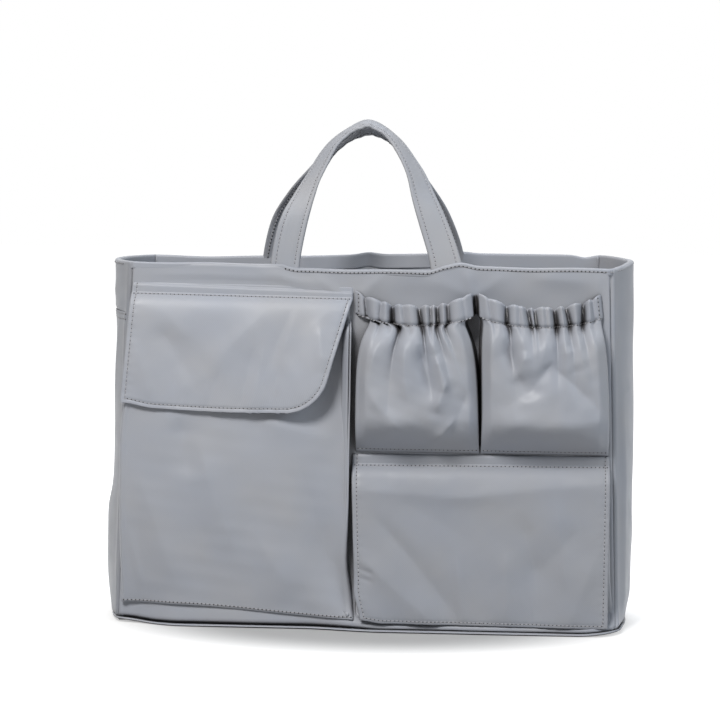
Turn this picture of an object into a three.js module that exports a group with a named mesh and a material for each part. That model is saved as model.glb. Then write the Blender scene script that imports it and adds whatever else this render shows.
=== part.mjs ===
// Soft open-top organizer insert for a handbag. Millimetres, +Z up, front face towards -Y.
// Each cut piece of cloth is a thin closed slab, and sewn pieces lie SEAM_GAP apart.
import * as THREE from "three";

// Bag body
const BODY_HEIGHT = 226; // floor to the top of the rim binding
const BODY_DEPTH = 100; // outer face of the front panel to outer face of the back panel
const TOP_WIDTH = 294; // front and back panels at the rim
const BASE_WIDTH = 310; // front and back panels at the floor
const TOP_BOW = 17; // bulge of a gusset past the side seams, at the rim
const BASE_BOW = 8; // the same bulge at the floor
const BASE_WELT = 1.5; // seam of the bottom panel, proud of the walls

// Thicknesses and the clearance between sewn pieces
const SEAM_GAP = 0.3;
const SHELL_CLOTH = 0.8;
const LINING_CLOTH = 0.6;
const INTERLINING = 1.4;
const BASE_BOARD = 1.5;
const BINDING_CLOTH = 0.8;
const BAND_CLOTH = 1;
const FLAP_CLOTH = 1.4;
const ELASTIC = 0.8;
const TAPE = 1; // hook tape and loop tape alike
const HANDLE_CLOTH = 2;

// Rim binding and handles
const BINDING_LEG = 5; // reach of the binding down each side of the rim
const HANDLE_WIDTH = 16;
const HANDLE_RISE = 89; // rim to the top of the strap
const FRONT_SPREAD = 98; // between the centres of a handle's two legs
const BACK_SPREAD = 112;
const HANDLE_GAP = 1.6; // between the two straps where they meet at the top
const HANDLE_TILT = 4; // how much lower a strap's outer edge lies at the top
const HANDLE_TAIL = 24; // sewn-in end of a strap, below the rim

// Columns of the front face
const SPLIT_X = -9; // middle of the channel between the left and right columns
const COLUMN_GAP = 5;
const POCKET_MARGIN = 3; // side seam to the edge of a pocket

// Left pocket and its flap
const LEFT_HINGE_DROP = 19; // rim to the flap's stitched fold
const LEFT_FLAP_LENGTH = 70;
const LEFT_FLAP_SLANT = 19; // how far the free side leans in over the flap's length
const LEFT_FLAP_CORNER = 24; // size of the one round corner
const FLAP_MARGIN = 1; // side seam to the left edge of the flap
const LEFT_POCKET_MOUTH = 7; // depth of the pocket at its mouth
const LEFT_POCKET_BASE = 12; // depth of the pocket at its foot

// Lower pocket and its flap
const LOWER_HINGE_HEIGHT = 104; // floor to the flap's stitched fold
const LOWER_FLAP_LENGTH = 98;
const LOWER_POCKET_MOUTH = 7;
const LOWER_POCKET_BASE = 10;

// Shared by both flap pockets
const POCKET_FOOT = 9; // floor to the foot of a pocket
const MOUTH_DROP = 8; // flap's fold to the pocket's mouth
const BAND_ABOVE = 6; // stitched band above the fold
const BAND_BELOW = 2; // stitched band behind the flap
const FLAP_CLEARANCE = 0.8; // flap to the pocket at its mouth
const FLAP_SLACK = 0.6; // spare room at the tapes
const BELLOWS_FOLD = 4; // depth of the pleat round a pocket
const BELLOWS_INSET = 1; // pocket edge to the pleat
const TAPE_HEIGHT = 14;
const TAPE_WIDTH = 40;
const TAPE_RISE = 9; // flap's lower edge to its tape

// Bottle pockets
const BOTTLE_DROP = 16; // rim to the upper corners
const BOTTLE_GAP = 3; // between the two pockets
const BOTTLE_DEPTH = 12; // stand-off of the side edges at their widest
const BOTTLE_CROWN = 12; // extra swell of the middle
const BOTTLE_DIP = 8; // sag of the mouth between its corners
const RUFFLES = 9;
const RUFFLE_HEIGHT = 1.6;
const CASING_HEIGHT = 14; // turned-in hem that holds the elastic
const ELASTIC_HEIGHT = 8;
const CASING_INSET = 5; // pocket edge to the ends of hem and elastic
const PLEAT_FOLD = 3; // depth of the pleat at each side

// Slip pocket on the left gusset
const SIDE_POCKET_DROP = 29; // rim to its hem
const SIDE_POCKET_SWELL = 8;
const SIDE_POCKET_MARGIN = 3; // gusset seams to the pocket's edges

// Shape factors, which have no unit
const HANDLE_LEG = { out: 0.84, up: 0.38 }; // lower handle of the curve from a leg's foot to the top
const HANDLE_SHOULDER = { out: 0.47, up: 0.87 }; // upper handle of the same curve
const BOTTLE_CLOSE = 0.85; // share of a half wave that the pocket's side swell follows
const RUFFLE_START = 0.6; // share of the pocket's height where the gathers begin
const PLEAT_START = 0.12; // share of the pocket's height where its side pleats begin
const SWELL_AT_MOUTH = 0.8; // share of the side pocket's swell left at its hem

// Mesh fineness
const BOW_STEPS = 16;
const BOW_ROWS = 8;
const HANDLE_STEPS = 24;
const CORNER_STEPS = 6;
const STEPS_PER_RUFFLE = 4;
const HEM_STEPS = 12;
const POCKET_ROWS = 6;

const { lerp, smoothstep } = THREE.MathUtils;
const ENDS = [0, 1];
const steps = (count) => Array.from({ length: count + 1 }, (_, i) => i / count);
const between = (low, high, count) => steps(count).map((t) => lerp(low, high, t));

// Levels and offsets that follow from the sizes above
const FRONT = -BODY_DEPTH / 2;
const WALL_FOOT = SHELL_CLOTH + SEAM_GAP;
const LINING_FLOOR = WALL_FOOT + BASE_BOARD + SEAM_GAP;
const LINING_FOOT = LINING_FLOOR + LINING_CLOTH + SEAM_GAP;
const WALL_TOP = BODY_HEIGHT - BINDING_CLOTH - SEAM_GAP;
const INTERLINING_TOP = WALL_TOP - HANDLE_TAIL - SEAM_GAP;
const UNDER_SHELL = SHELL_CLOTH + SEAM_GAP; // outer face to the second layer
const UNDER_INTERLINING = UNDER_SHELL + INTERLINING + SEAM_GAP;
const WALL_STACK = UNDER_INTERLINING + LINING_CLOTH;
const SIDE_STACK = UNDER_SHELL + LINING_CLOTH;
const COLUMN_LEFT_END = SPLIT_X - COLUMN_GAP / 2;
const COLUMN_RIGHT_START = SPLIT_X + COLUMN_GAP / 2;
const LEFT_HINGE = BODY_HEIGHT - LEFT_HINGE_DROP;
const FLAP_AXIS_OUT = SEAM_GAP + BAND_CLOTH + SEAM_GAP + FLAP_CLOTH / 2; // front panel to a flap's hinge line
const HANDLE_AXIS_OUT = BODY_DEPTH / 2 + SEAM_GAP + BINDING_CLOTH + SEAM_GAP + HANDLE_CLOTH / 2;
const HANDLE_AXIS_HEIGHT = BODY_HEIGHT + SEAM_GAP;
const BOTTLE_SEAM = LOWER_HINGE_HEIGHT + BAND_ABOVE + SEAM_GAP;
const BOTTLE_TOP = BODY_HEIGHT - BOTTLE_DROP;

// Half the width of the front panel, and the gusset's outer face, at a height
const halfWidth = (z) => lerp(BASE_WIDTH, TOP_WIDTH, z / BODY_HEIGHT) / 2;
const bow = (z) => lerp(BASE_BOW, TOP_BOW, z / BODY_HEIGHT);
const gussetFace = (y, z) => halfWidth(z) + bow(z) * (1 - (y / FRONT) ** 2);
const panelEdge = (inset) => (z) => halfWidth(z) - inset;

// Closed geometry from corner points and triangles, turned so that its faces point out
function closedGeometry(points, triangles) {
  const indexed = new THREE.BufferGeometry();
  indexed.setAttribute("position", new THREE.Float32BufferAttribute(points.flat(), 3));
  const corner = triangles.map((i) => new THREE.Vector3(...points[i]));
  let volume = 0;
  for (let i = 0; i < corner.length; i += 3) {
    volume += corner[i].dot(new THREE.Vector3().crossVectors(corner[i + 1], corner[i + 2]));
  }
  indexed.setIndex(volume < 0 ? [...triangles].reverse() : triangles);
  const geometry = indexed.toNonIndexed();
  geometry.computeVertexNormals();
  return geometry;
}

// Closed slab between two surfaces, each a function of u across and v along that returns [x, y, z]
function slab(us, vs, near, far) {
  const points = [near, far].flatMap((surface) => vs.flatMap((v) => us.map((u) => surface(u, v))));
  const row = us.length;
  const layer = row * vs.length;
  const triangles = [];
  const quad = (a, b, c, d) => triangles.push(a, b, c, a, c, d);
  for (let j = 0; j + 1 < vs.length; j++) {
    for (let i = 0; i + 1 < row; i++) {
      const a = j * row + i;
      quad(a, a + 1, a + 1 + row, a + row);
      quad(layer + a, layer + a + row, layer + a + 1 + row, layer + a + 1);
    }
  }
  const across = us.map((_, i) => i);
  const along = vs.map((_, j) => j * row);
  const border = [
    ...across,
    ...along.slice(1).map((start) => start + row - 1),
    ...across.slice(0, -1).reverse().map((i) => layer - row + i),
    ...along.slice(1, -1).reverse(),
  ];
  border.forEach((a, k) => {
    const b = border[(k + 1) % border.length];
    quad(a, layer + a, layer + b, b);
  });
  return closedGeometry(points, triangles);
}

// Flat upright wall: left and right edges follow the height, face is the y of its first side
function flatWall(left, right, low, high, face, thickness) {
  const side = (y) => (u, v) => {
    const z = lerp(low, high, v);
    return [lerp(left(z), right(z), u), y, z];
  };
  return slab(ENDS, ENDS, side(face), side(face + thickness));
}

// Front or back wall layer: depth counts inwards from the outer face, and edge is its inset at the sides
function wallLayer(facing, depth, thickness, inset, low, high) {
  const edge = panelEdge(inset);
  return flatWall((z) => -edge(z), edge, low, high, facing * (BODY_DEPTH / 2 - depth), -facing * thickness);
}

// Bowed side wall layer that ends end short of the middle plane's front and back
function gussetLayer(side, depth, thickness, end, low, high) {
  const surface = (inset) => (u, v) => {
    const z = lerp(low, high, v);
    const y = lerp(-end, end, u);
    return [side * (gussetFace(y, z) - inset), y, z];
  };
  return slab(steps(BOW_STEPS), steps(BOW_ROWS), surface(depth), surface(depth + thickness));
}

// Flat plate in the plan of the base, with its bowed ends
function floorPlate(reach, end, low, thickness) {
  const high = low + thickness;
  const surface = (z) => (u, v) => {
    const y = lerp(-end, end, v);
    const x = Math.min(gussetFace(y, low), gussetFace(y, high)) + reach;
    return [lerp(-x, x, u), y, z];
  };
  return slab(ENDS, steps(BOW_STEPS), surface(low), surface(high));
}

// Tape folded over the top of all four walls, a ring of upside-down U section
function bindingRing() {
  const outside = { wall: SEAM_GAP + BINDING_CLOTH, side: SEAM_GAP + BINDING_CLOTH };
  const outsideLeg = { wall: SEAM_GAP, side: SEAM_GAP };
  const insideLeg = { wall: -WALL_STACK - SEAM_GAP, side: -SIDE_STACK - SEAM_GAP };
  const inside = { wall: insideLeg.wall - BINDING_CLOTH, side: insideLeg.side - BINDING_CLOTH };
  const foot = BODY_HEIGHT - BINDING_LEG;
  const under = BODY_HEIGHT - BINDING_CLOTH;
  const section = [
    [outside, foot],
    [outside, BODY_HEIGHT],
    [inside, BODY_HEIGHT],
    [inside, foot],
    [insideLeg, foot],
    [insideLeg, under],
    [outsideLeg, under],
    [outsideLeg, foot],
  ];
  const plan = [
    ...steps(BOW_STEPS).map((t) => ({ mirror: 1, t })),
    ...steps(BOW_STEPS).map((t) => ({ mirror: -1, t: 1 - t })),
  ];
  const points = plan.flatMap(({ mirror, t }) =>
    section.map(([offset, z]) => {
      const end = BODY_DEPTH / 2 + offset.wall;
      const y = lerp(-end, end, t);
      return [mirror * (gussetFace(y, z) + offset.side), y, z];
    }),
  );
  const triangles = [];
  const count = section.length;
  plan.forEach((_, k) => {
    const next = (k + 1) % plan.length;
    for (let i = 0; i < count; i++) {
      const j = (i + 1) % count;
      const [a, b, c, d] = [k * count + i, next * count + i, next * count + j, k * count + j];
      triangles.push(a, b, c, a, c, d);
    }
  });
  return closedGeometry(points, triangles);
}

// Strap that rises from two feet on the rim and rolls over to lie flat at the top.
// Local frame: x along the rim, y in towards the middle of the bag, z up from the hinge line.
function handleStrap(spread) {
  const reach = HANDLE_AXIS_OUT - HANDLE_GAP / 2;
  const forward = Math.sqrt(HANDLE_WIDTH ** 2 - HANDLE_TILT ** 2);
  const rise = HANDLE_RISE - (HANDLE_AXIS_HEIGHT - BODY_HEIGHT);
  const edgeCurve = (foot, top, inward) =>
    new THREE.CubicBezierCurve3(
      new THREE.Vector3(foot, 0, 0),
      new THREE.Vector3(foot * HANDLE_LEG.out, inward * HANDLE_LEG.up, top * HANDLE_LEG.up),
      new THREE.Vector3(foot * HANDLE_SHOULDER.out, inward * HANDLE_SHOULDER.up, top * HANDLE_SHOULDER.up),
      new THREE.Vector3(0, inward, top),
    );
  const outerEdge = edgeCurve((spread + HANDLE_WIDTH) / 2, rise, reach);
  const innerEdge = edgeCurve((spread - HANDLE_WIDTH) / 2, rise - HANDLE_TILT, reach - forward);
  const edgePoint = (curve, u) => {
    const point = curve.getPoint(1 - Math.abs(2 * u - 1));
    point.x *= Math.sign(2 * u - 1);
    return point;
  };
  const middle = (u, v) => edgePoint(innerEdge, u).lerp(edgePoint(outerEdge, u), v);
  const surface = (offset) => (u, v) => {
    const nudge = 0.01;
    const ahead = middle(Math.min(u + nudge, 1), v).sub(middle(Math.max(u - nudge, 0), v));
    const across = middle(u, 1).sub(middle(u, 0));
    const normal = ahead.cross(across).normalize();
    // The strap is cut square to its hinge line at its feet
    if (u === 0 || u === 1) normal.setZ(0).normalize();
    return middle(u, v).addScaledVector(normal, offset).toArray();
  };
  return slab(steps(HANDLE_STEPS), ENDS, surface(-HANDLE_CLOTH / 2), surface(HANDLE_CLOTH / 2));
}

// A flap pocket on the front panel: all depths count outwards from the panel's outer face
function flapPocket({ name, left, right, hinge, mouthDepth, footDepth, flap }) {
  const mouth = hinge - MOUTH_DROP;
  const depthAt = (z) => lerp(footDepth, mouthDepth, (z - POCKET_FOOT) / (mouth - POCKET_FOOT));
  const frontAt = (z) => depthAt(z) + SHELL_CLOTH;

  const leaning = (depth) => (u, v) => {
    const z = lerp(POCKET_FOOT, mouth, v);
    return [lerp(left(z), right(z), u), FRONT - depth(z), z];
  };
  addPiece(`${name}_pocket_front`, slab(ENDS, ENDS, leaning(depthAt), leaning(frontAt)), SHELL);

  // Pleated strip round the sides and foot, between the panel and the pocket's front
  const turns = [
    { edge: left, z: mouth, in: 1, up: 0 },
    { edge: left, z: POCKET_FOOT, in: 1, up: 1 },
    { edge: right, z: POCKET_FOOT, in: -1, up: 1 },
    { edge: right, z: mouth, in: -1, up: 0 },
  ];
  const strip = (extra) => (u, v) => {
    const turn = turns[Math.round(u * (turns.length - 1))];
    const pleat = BELLOWS_INSET + extra + BELLOWS_FOLD * (1 - Math.abs(2 * v - 1));
    const depth = lerp(SEAM_GAP, depthAt(turn.z) - SEAM_GAP, v);
    return [turn.edge(turn.z) + turn.in * pleat, FRONT - depth, turn.z + turn.up * pleat];
  };
  const bellows = slab(steps(turns.length - 1), steps(2), strip(0), strip(SHELL_CLOTH));
  addPiece(`${name}_pocket_bellows`, bellows, SHELL);

  const bandLow = hinge - BAND_BELOW;
  const bandHigh = hinge + BAND_ABOVE;
  const band = flatWall(flap.left, () => flap.right(hinge), bandLow, bandHigh, FRONT - SEAM_GAP, -BAND_CLOTH);
  addPiece(`${name}_flap_band`, band, SHELL);

  // The flap leaves the panel at its fold, clears the mouth and then hangs just off the tapes
  const foot = hinge - flap.length;
  const tapeRoom = 2 * TAPE + 3 * SEAM_GAP + FLAP_SLACK;
  const tapeLow = foot + TAPE_RISE;
  const tapeHigh = tapeLow + TAPE_HEIGHT;
  const atHinge = FLAP_AXIS_OUT - FLAP_CLOTH / 2;
  const atMouth = frontAt(mouth) + FLAP_CLEARANCE;
  const atTape = frontAt(tapeHigh) + tapeRoom;
  const backAt = (z) =>
    z > mouth
      ? lerp(atMouth, atHinge, (z - mouth) / MOUTH_DROP)
      : lerp(atMouth, atTape, (mouth - z) / (mouth - tapeHigh));
  const cornerStart = 1 - flap.corner / (flap.right(foot) - flap.left(foot));
  const turned = (share) => flap.corner * (1 - Math.sqrt(1 - share ** 2));
  const footAt = (u) => foot + turned(Math.max(0, (u - cornerStart) / (1 - cornerStart)) || 0);
  const columns = flap.corner
    ? [0, ...steps(CORNER_STEPS).map((t) => lerp(cornerStart, 1, Math.sin((t * Math.PI) / 2)))]
    : ENDS;
  const hanging = (thickness) => (u, v) => {
    const z = v < 0.5 ? lerp(hinge, mouth, 2 * v) : lerp(mouth, footAt(u), 2 * v - 1);
    return [lerp(flap.left(z), flap.right(z), u), FRONT - backAt(z) - thickness, z];
  };
  addPiece(`${name}_flap`, slab(columns, steps(2), hanging(0), hanging(FLAP_CLOTH)), SHELL);

  // Closing tapes, hook on the flap and loop on the pocket
  const tapeMiddle = (left(tapeLow) + flap.right(tapeHigh) - flap.corner) / 2;
  const patch = (depth) => (u, v) => {
    const z = lerp(tapeLow, tapeHigh, v);
    return [tapeMiddle + TAPE_WIDTH * (u - 0.5), FRONT - depth(z), z];
  };
  const hookBack = (z) => backAt(z) - SEAM_GAP - TAPE;
  const hookFront = (z) => backAt(z) - SEAM_GAP;
  const loopBack = (z) => frontAt(z) + SEAM_GAP;
  const loopFront = (z) => frontAt(z) + SEAM_GAP + TAPE;
  addPiece(`${name}_flap_hook_tape`, slab(ENDS, ENDS, patch(hookBack), patch(hookFront)), HOOK_TAPE);
  addPiece(`${name}_pocket_loop_tape`, slab(ENDS, ENDS, patch(loopBack), patch(loopFront)), LOOP_TAPE);
}

// A gathered bottle pocket: sewn flat along its foot, pleated at its sides, drawn in at its mouth
function bottlePocket({ name, left, right }) {
  const height = BOTTLE_TOP - BOTTLE_SEAM;
  const arch = (u) => 1 - (2 * u - 1) ** 2;
  const sideDepth = (v) => SEAM_GAP + BOTTLE_DEPTH * Math.sin(BOTTLE_CLOSE * Math.PI * v);
  const swell = (u, v) => BOTTLE_CROWN * v * (2 - v) * arch(u);
  const ruffle = (u, v) =>
    RUFFLE_HEIGHT * smoothstep(v, RUFFLE_START, 1) * 0.5 * (1 - Math.cos(2 * Math.PI * RUFFLES * u));
  const heightAt = (u, v) => lerp(BOTTLE_SEAM, BOTTLE_TOP, v) - BOTTLE_DIP * arch(u) * v ** 2;
  const surface = (inset, gathered) => (u, v) => {
    const z = heightAt(u, v);
    const depth = sideDepth(v) + swell(u, v) + (gathered ? ruffle(u, v) : 0) - inset;
    return [lerp(left(z), right(z), u), FRONT - depth, z];
  };

  const casingLow = 1 - CASING_HEIGHT / height;
  const columns = steps(RUFFLES * STEPS_PER_RUFFLE);
  const rows = [...between(0, casingLow, POCKET_ROWS), (casingLow + 1) / 2, 1];
  addPiece(`${name}_bottle_front`, slab(columns, rows, surface(0, true), surface(-SHELL_CLOTH, true)), SHELL);

  // Elastic behind the gathers, and the turned-in hem that covers it
  const inset = CASING_INSET / (right(BOTTLE_TOP) - left(BOTTLE_TOP));
  const hemColumns = between(inset, 1 - inset, HEM_STEPS);
  const elasticMiddle = (casingLow + 1) / 2;
  const elasticHalf = ELASTIC_HEIGHT / height / 2;
  const elasticRows = [elasticMiddle - elasticHalf, elasticMiddle, elasticMiddle + elasticHalf];
  const elasticBack = SEAM_GAP + ELASTIC;
  const hemFront = elasticBack + SEAM_GAP;
  const elastic = slab(hemColumns, elasticRows, surface(elasticBack), surface(SEAM_GAP));
  addPiece(`${name}_bottle_elastic`, elastic, ELASTIC_BAND);
  const hemRows = [casingLow, elasticMiddle, 1];
  const hem = slab(hemColumns, hemRows, surface(hemFront + SHELL_CLOTH), surface(hemFront));
  addPiece(`${name}_bottle_hem`, hem, SHELL);

  // Side pleats, from where the pocket has room for them up to the hem
  const pleatRows = between(PLEAT_START, casingLow, POCKET_ROWS);
  const sides = [
    { side: "left", edge: left, in: 1 },
    { side: "right", edge: right, in: -1 },
  ];
  for (const pleat of sides) {
    const strip = (extra) => (u, v) => {
      const z = heightAt(0, v);
      const fold = BELLOWS_INSET + extra + PLEAT_FOLD * (1 - Math.abs(2 * u - 1));
      return [pleat.edge(z) + pleat.in * fold, FRONT - lerp(SEAM_GAP, sideDepth(v) - SEAM_GAP, u), z];
    };
    const folded = slab(steps(2), pleatRows, strip(0), strip(SHELL_CLOTH));
    addPiece(`${name}_bottle_pleat_${pleat.side}`, folded, SHELL);
  }
}

// Slip pocket sewn over the left gusset, open at its hem
function sidePocket() {
  const end = BODY_DEPTH / 2 - UNDER_SHELL - SIDE_POCKET_MARGIN;
  const high = BODY_HEIGHT - SIDE_POCKET_DROP;
  const swell = (v) => SIDE_POCKET_SWELL * Math.sin(Math.PI * v * (1 - Math.asin(SWELL_AT_MOUTH) / Math.PI));
  const surface = (thickness) => (u, v) => {
    const z = lerp(WALL_FOOT, high, v);
    const y = lerp(-end, end, u);
    const standOff = SEAM_GAP + swell(v) * (1 - (2 * u - 1) ** 2);
    return [-gussetFace(y, z) - standOff - thickness, y, z];
  };
  const pocket = slab(steps(BOW_STEPS), steps(BOW_ROWS), surface(0), surface(SHELL_CLOTH));
  addPiece("left_side_pocket", pocket, SHELL);
}

// Finishes
const SHELL = { color: 0xa4a6ac, roughness: 0.48 };
const LINING = { color: 0x8f9197, roughness: 0.6 };
const STRAP = { color: 0xa0a2a8, roughness: 0.5 };
const FOAM = { color: 0xe4e2dc, roughness: 0.95 };
const BOARD = { color: 0x55565a, roughness: 0.7 };
const ELASTIC_BAND = { color: 0xd9d9d6, roughness: 0.85 };
const HOOK_TAPE = { color: 0x77797e, roughness: 0.8 };
const LOOP_TAPE = { color: 0x85878c, roughness: 0.95 };

const part = new THREE.Group();

function addPiece(name, geometry, { color, roughness }) {
  const mesh = new THREE.Mesh(geometry, new THREE.MeshStandardMaterial({ color, roughness, metalness: 0 }));
  mesh.name = name;
  part.add(mesh);
  return mesh;
}

// Floor: outer bottom, stiffening board and lining
const INNER_END = BODY_DEPTH / 2 - UNDER_INTERLINING;
addPiece("bottom_panel", floorPlate(BASE_WELT, BODY_DEPTH / 2 + BASE_WELT, 0, SHELL_CLOTH), SHELL);
addPiece("base_board", floorPlate(-UNDER_SHELL, INNER_END, WALL_FOOT, BASE_BOARD), BOARD);
addPiece("lining_bottom", floorPlate(-UNDER_SHELL, INNER_END, LINING_FLOOR, LINING_CLOTH), LINING);

// Front and back walls, each a panel, an interlining and a lining, with the straps' ends between
const walls = [
  { name: "front", facing: -1, spread: FRONT_SPREAD, turn: 0 },
  { name: "back", facing: 1, spread: BACK_SPREAD, turn: Math.PI },
];
for (const { name, facing, spread, turn } of walls) {
  addPiece(`${name}_panel`, wallLayer(facing, 0, SHELL_CLOTH, 0, WALL_FOOT, WALL_TOP), SHELL);
  const foam = wallLayer(facing, UNDER_SHELL, INTERLINING, UNDER_SHELL, WALL_FOOT, INTERLINING_TOP);
  addPiece(`${name}_interlining`, foam, FOAM);
  const lining = wallLayer(facing, UNDER_INTERLINING, LINING_CLOTH, UNDER_SHELL, LINING_FOOT, WALL_TOP);
  addPiece(`lining_${name}`, lining, LINING);

  const tailFace = facing * (BODY_DEPTH / 2 - UNDER_SHELL);
  for (const [end, side] of [["left", -1], ["right", 1]]) {
    const edge = (half) => () => (side * spread) / 2 + half * HANDLE_WIDTH;
    const tailFoot = WALL_TOP - HANDLE_TAIL;
    const tail = flatWall(edge(-0.5), edge(0.5), tailFoot, WALL_TOP, tailFace, -facing * INTERLINING);
    addPiece(`${name}_handle_tail_${end}`, tail, STRAP);
  }

  const handle = addPiece(`${name}_handle`, handleStrap(spread), STRAP);
  handle.position.set(0, facing * HANDLE_AXIS_OUT, HANDLE_AXIS_HEIGHT);
  handle.rotation.z = turn;
}

// Side gussets and their linings
const GUSSET_END = BODY_DEPTH / 2 - UNDER_SHELL;
const SIDE_LINING_END = BODY_DEPTH / 2 - WALL_STACK - SEAM_GAP;
for (const [name, side] of [["left", -1], ["right", 1]]) {
  addPiece(`${name}_gusset`, gussetLayer(side, 0, SHELL_CLOTH, GUSSET_END, WALL_FOOT, WALL_TOP), SHELL);
  const lining = gussetLayer(side, UNDER_SHELL, LINING_CLOTH, SIDE_LINING_END, LINING_FOOT, WALL_TOP);
  addPiece(`lining_${name}`, lining, LINING);
}
sidePocket();
addPiece("rim_binding", bindingRing(), SHELL);

// Front pockets
const pocketRight = panelEdge(POCKET_MARGIN);
const leftFlapRight = (z) => COLUMN_LEFT_END - (LEFT_FLAP_SLANT * (LEFT_HINGE - z)) / LEFT_FLAP_LENGTH;
flapPocket({
  name: "left",
  left: (z) => -pocketRight(z),
  right: () => COLUMN_LEFT_END,
  hinge: LEFT_HINGE,
  mouthDepth: LEFT_POCKET_MOUTH,
  footDepth: LEFT_POCKET_BASE,
  flap: {
    left: (z) => -panelEdge(FLAP_MARGIN)(z),
    right: leftFlapRight,
    length: LEFT_FLAP_LENGTH,
    corner: LEFT_FLAP_CORNER,
  },
});
flapPocket({
  name: "lower",
  left: () => COLUMN_RIGHT_START,
  right: pocketRight,
  hinge: LOWER_HINGE_HEIGHT,
  mouthDepth: LOWER_POCKET_MOUTH,
  footDepth: LOWER_POCKET_BASE,
  flap: { left: () => COLUMN_RIGHT_START, right: pocketRight, length: LOWER_FLAP_LENGTH, corner: 0 },
});

const bottleMiddle = (COLUMN_RIGHT_START + pocketRight(BOTTLE_TOP)) / 2;
bottlePocket({ name: "left", left: () => COLUMN_RIGHT_START, right: () => bottleMiddle - BOTTLE_GAP / 2 });
bottlePocket({ name: "right", left: () => bottleMiddle + BOTTLE_GAP / 2, right: pocketRight });

export default part;
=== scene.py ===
"""Looks of a sewn purse organizer insert: satin nylon cloth, rolled edges, gathers and stitching.

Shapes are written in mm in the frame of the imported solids: +X right, +Y back, +Z up.
A fold in a list of folds is (from, to, half width, height), in the two coordinates of its cloth.
"""
import math

import bpy
import numpy as np
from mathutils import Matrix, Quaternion, Vector

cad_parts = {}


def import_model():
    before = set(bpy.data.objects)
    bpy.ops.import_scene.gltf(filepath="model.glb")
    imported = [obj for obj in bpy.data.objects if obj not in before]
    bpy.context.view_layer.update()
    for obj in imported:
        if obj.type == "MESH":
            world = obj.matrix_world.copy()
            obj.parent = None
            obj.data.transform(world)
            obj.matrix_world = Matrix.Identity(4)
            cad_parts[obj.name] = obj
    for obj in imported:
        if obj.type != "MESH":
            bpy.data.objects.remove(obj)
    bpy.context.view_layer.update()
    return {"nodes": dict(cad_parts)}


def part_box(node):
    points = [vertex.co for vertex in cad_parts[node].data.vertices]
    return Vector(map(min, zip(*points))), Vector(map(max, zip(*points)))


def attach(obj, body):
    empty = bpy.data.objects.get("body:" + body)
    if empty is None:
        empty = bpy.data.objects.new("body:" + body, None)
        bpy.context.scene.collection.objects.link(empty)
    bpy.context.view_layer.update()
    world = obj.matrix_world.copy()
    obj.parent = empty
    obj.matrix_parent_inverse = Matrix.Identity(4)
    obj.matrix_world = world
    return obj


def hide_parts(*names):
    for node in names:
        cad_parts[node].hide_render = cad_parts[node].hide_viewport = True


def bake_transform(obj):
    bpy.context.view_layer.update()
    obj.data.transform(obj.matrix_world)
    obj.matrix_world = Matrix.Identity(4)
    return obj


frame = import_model()
MM = 0.001


def solid_box(node):
    """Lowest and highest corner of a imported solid, in mm."""
    low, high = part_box(node)
    return np.array(low) / MM, np.array(high) / MM


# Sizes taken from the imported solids
PANEL_LOW, PANEL_HIGH = solid_box("front_panel")
GUSSET_LOW, GUSSET_HIGH = solid_box("right_gusset")
FLOOR_LOW, FLOOR_HIGH = solid_box("bottom_panel")
LEFT_FLAP_LOW, LEFT_FLAP_HIGH = solid_box("left_flap")
LEFT_POCKET_LOW, LEFT_POCKET_HIGH = solid_box("left_pocket_front")
LOWER_FLAP_LOW, LOWER_FLAP_HIGH = solid_box("lower_flap")
LOWER_POCKET_LOW, LOWER_POCKET_HIGH = solid_box("lower_pocket_front")
BOTTLE_LOW, BOTTLE_HIGH = solid_box("left_bottle_front")
RIGHT_BOTTLE_LOW, RIGHT_BOTTLE_HIGH = solid_box("right_bottle_front")
SIDE_POCKET_HIGH = solid_box("left_side_pocket")[1]
FRONT = PANEL_LOW[1]
WALL_FOOT, WALL_TOP = PANEL_LOW[2], PANEL_HIGH[2]
RIM_TOP = solid_box("rim_binding")[1][2]
BASE_HALF, TOP_HALF = PANEL_HIGH[0], GUSSET_LOW[0]
BASE_WELT = FRONT - FLOOR_LOW[1]
BASE_BOW = FLOOR_HIGH[0] - BASE_WELT - BASE_HALF
TOP_BOW = GUSSET_HIGH[0] - TOP_HALF
LINING_FACE = -solid_box("lining_front")[1][1]

# Cloth and thread
SHELL_CLOTH = 0.8
LINING_CLOTH = 0.6
FLAP_CLOTH = 1.3
POUCH_CLOTH = 0.6
PLEAT_CLOTH = 0.48
STRAP_CLOTH = 1.8
ELASTIC_CLOTH = 0.6
EDGE_ROUND = 0.45
STITCH_PITCH = 2.5
STITCH_LENGTH = 1.95
STITCH_RADIUS = 0.44
STITCH_SLANT = math.radians(14)
STITCH_INSET = 2.4
STITCH_PLACES = np.array([-0.5, -0.34, 0, 0.34, 0.5])
STITCH_GIRTHS = np.array([0.35, 0.85, 1, 0.85, 0.35])
STITCH_ARCH = 0.125
HOLE_LONG, HOLE_WIDE, HOLE_TALL = 0.5, 0.52, 0.24
SEAM_DEPTH = 0.45
SEAM_HALF = 0.9
PUCKER_PITCH = 6.0
PUCKER_HEIGHT = 0.10
PUCKER_REACH = 4.0

# How finely the cloth is meshed
FINE = 1.1
MEDIUM = 1.8
COARSE = 3.0
PATH_STEP = 0.4
SHARE_STEP = 0.003


# Shaping functions
def smooth(t):
    """Eased step from 0 to 1."""
    t = np.clip(t, 0, 1)
    return t * t * (3 - 2 * t)


def rise(x, start, end):
    """Eased step from 0 at the start to 1 at the end, which may lie on either side of the start."""
    return smooth((x - start) / (end - start))


def mix(a, b, t):
    return a + (b - a) * t


def hump(x, middle, half):
    """A soft hump of height 1."""
    return np.exp(-(((x - middle) / half) ** 2))


def rolled(distance, radius):
    """How far a face drops back near an edge that is turned under, at this distance from the edge."""
    inside = np.clip(radius - distance, 0, radius)
    return radius - np.sqrt(radius**2 - inside**2)


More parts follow.
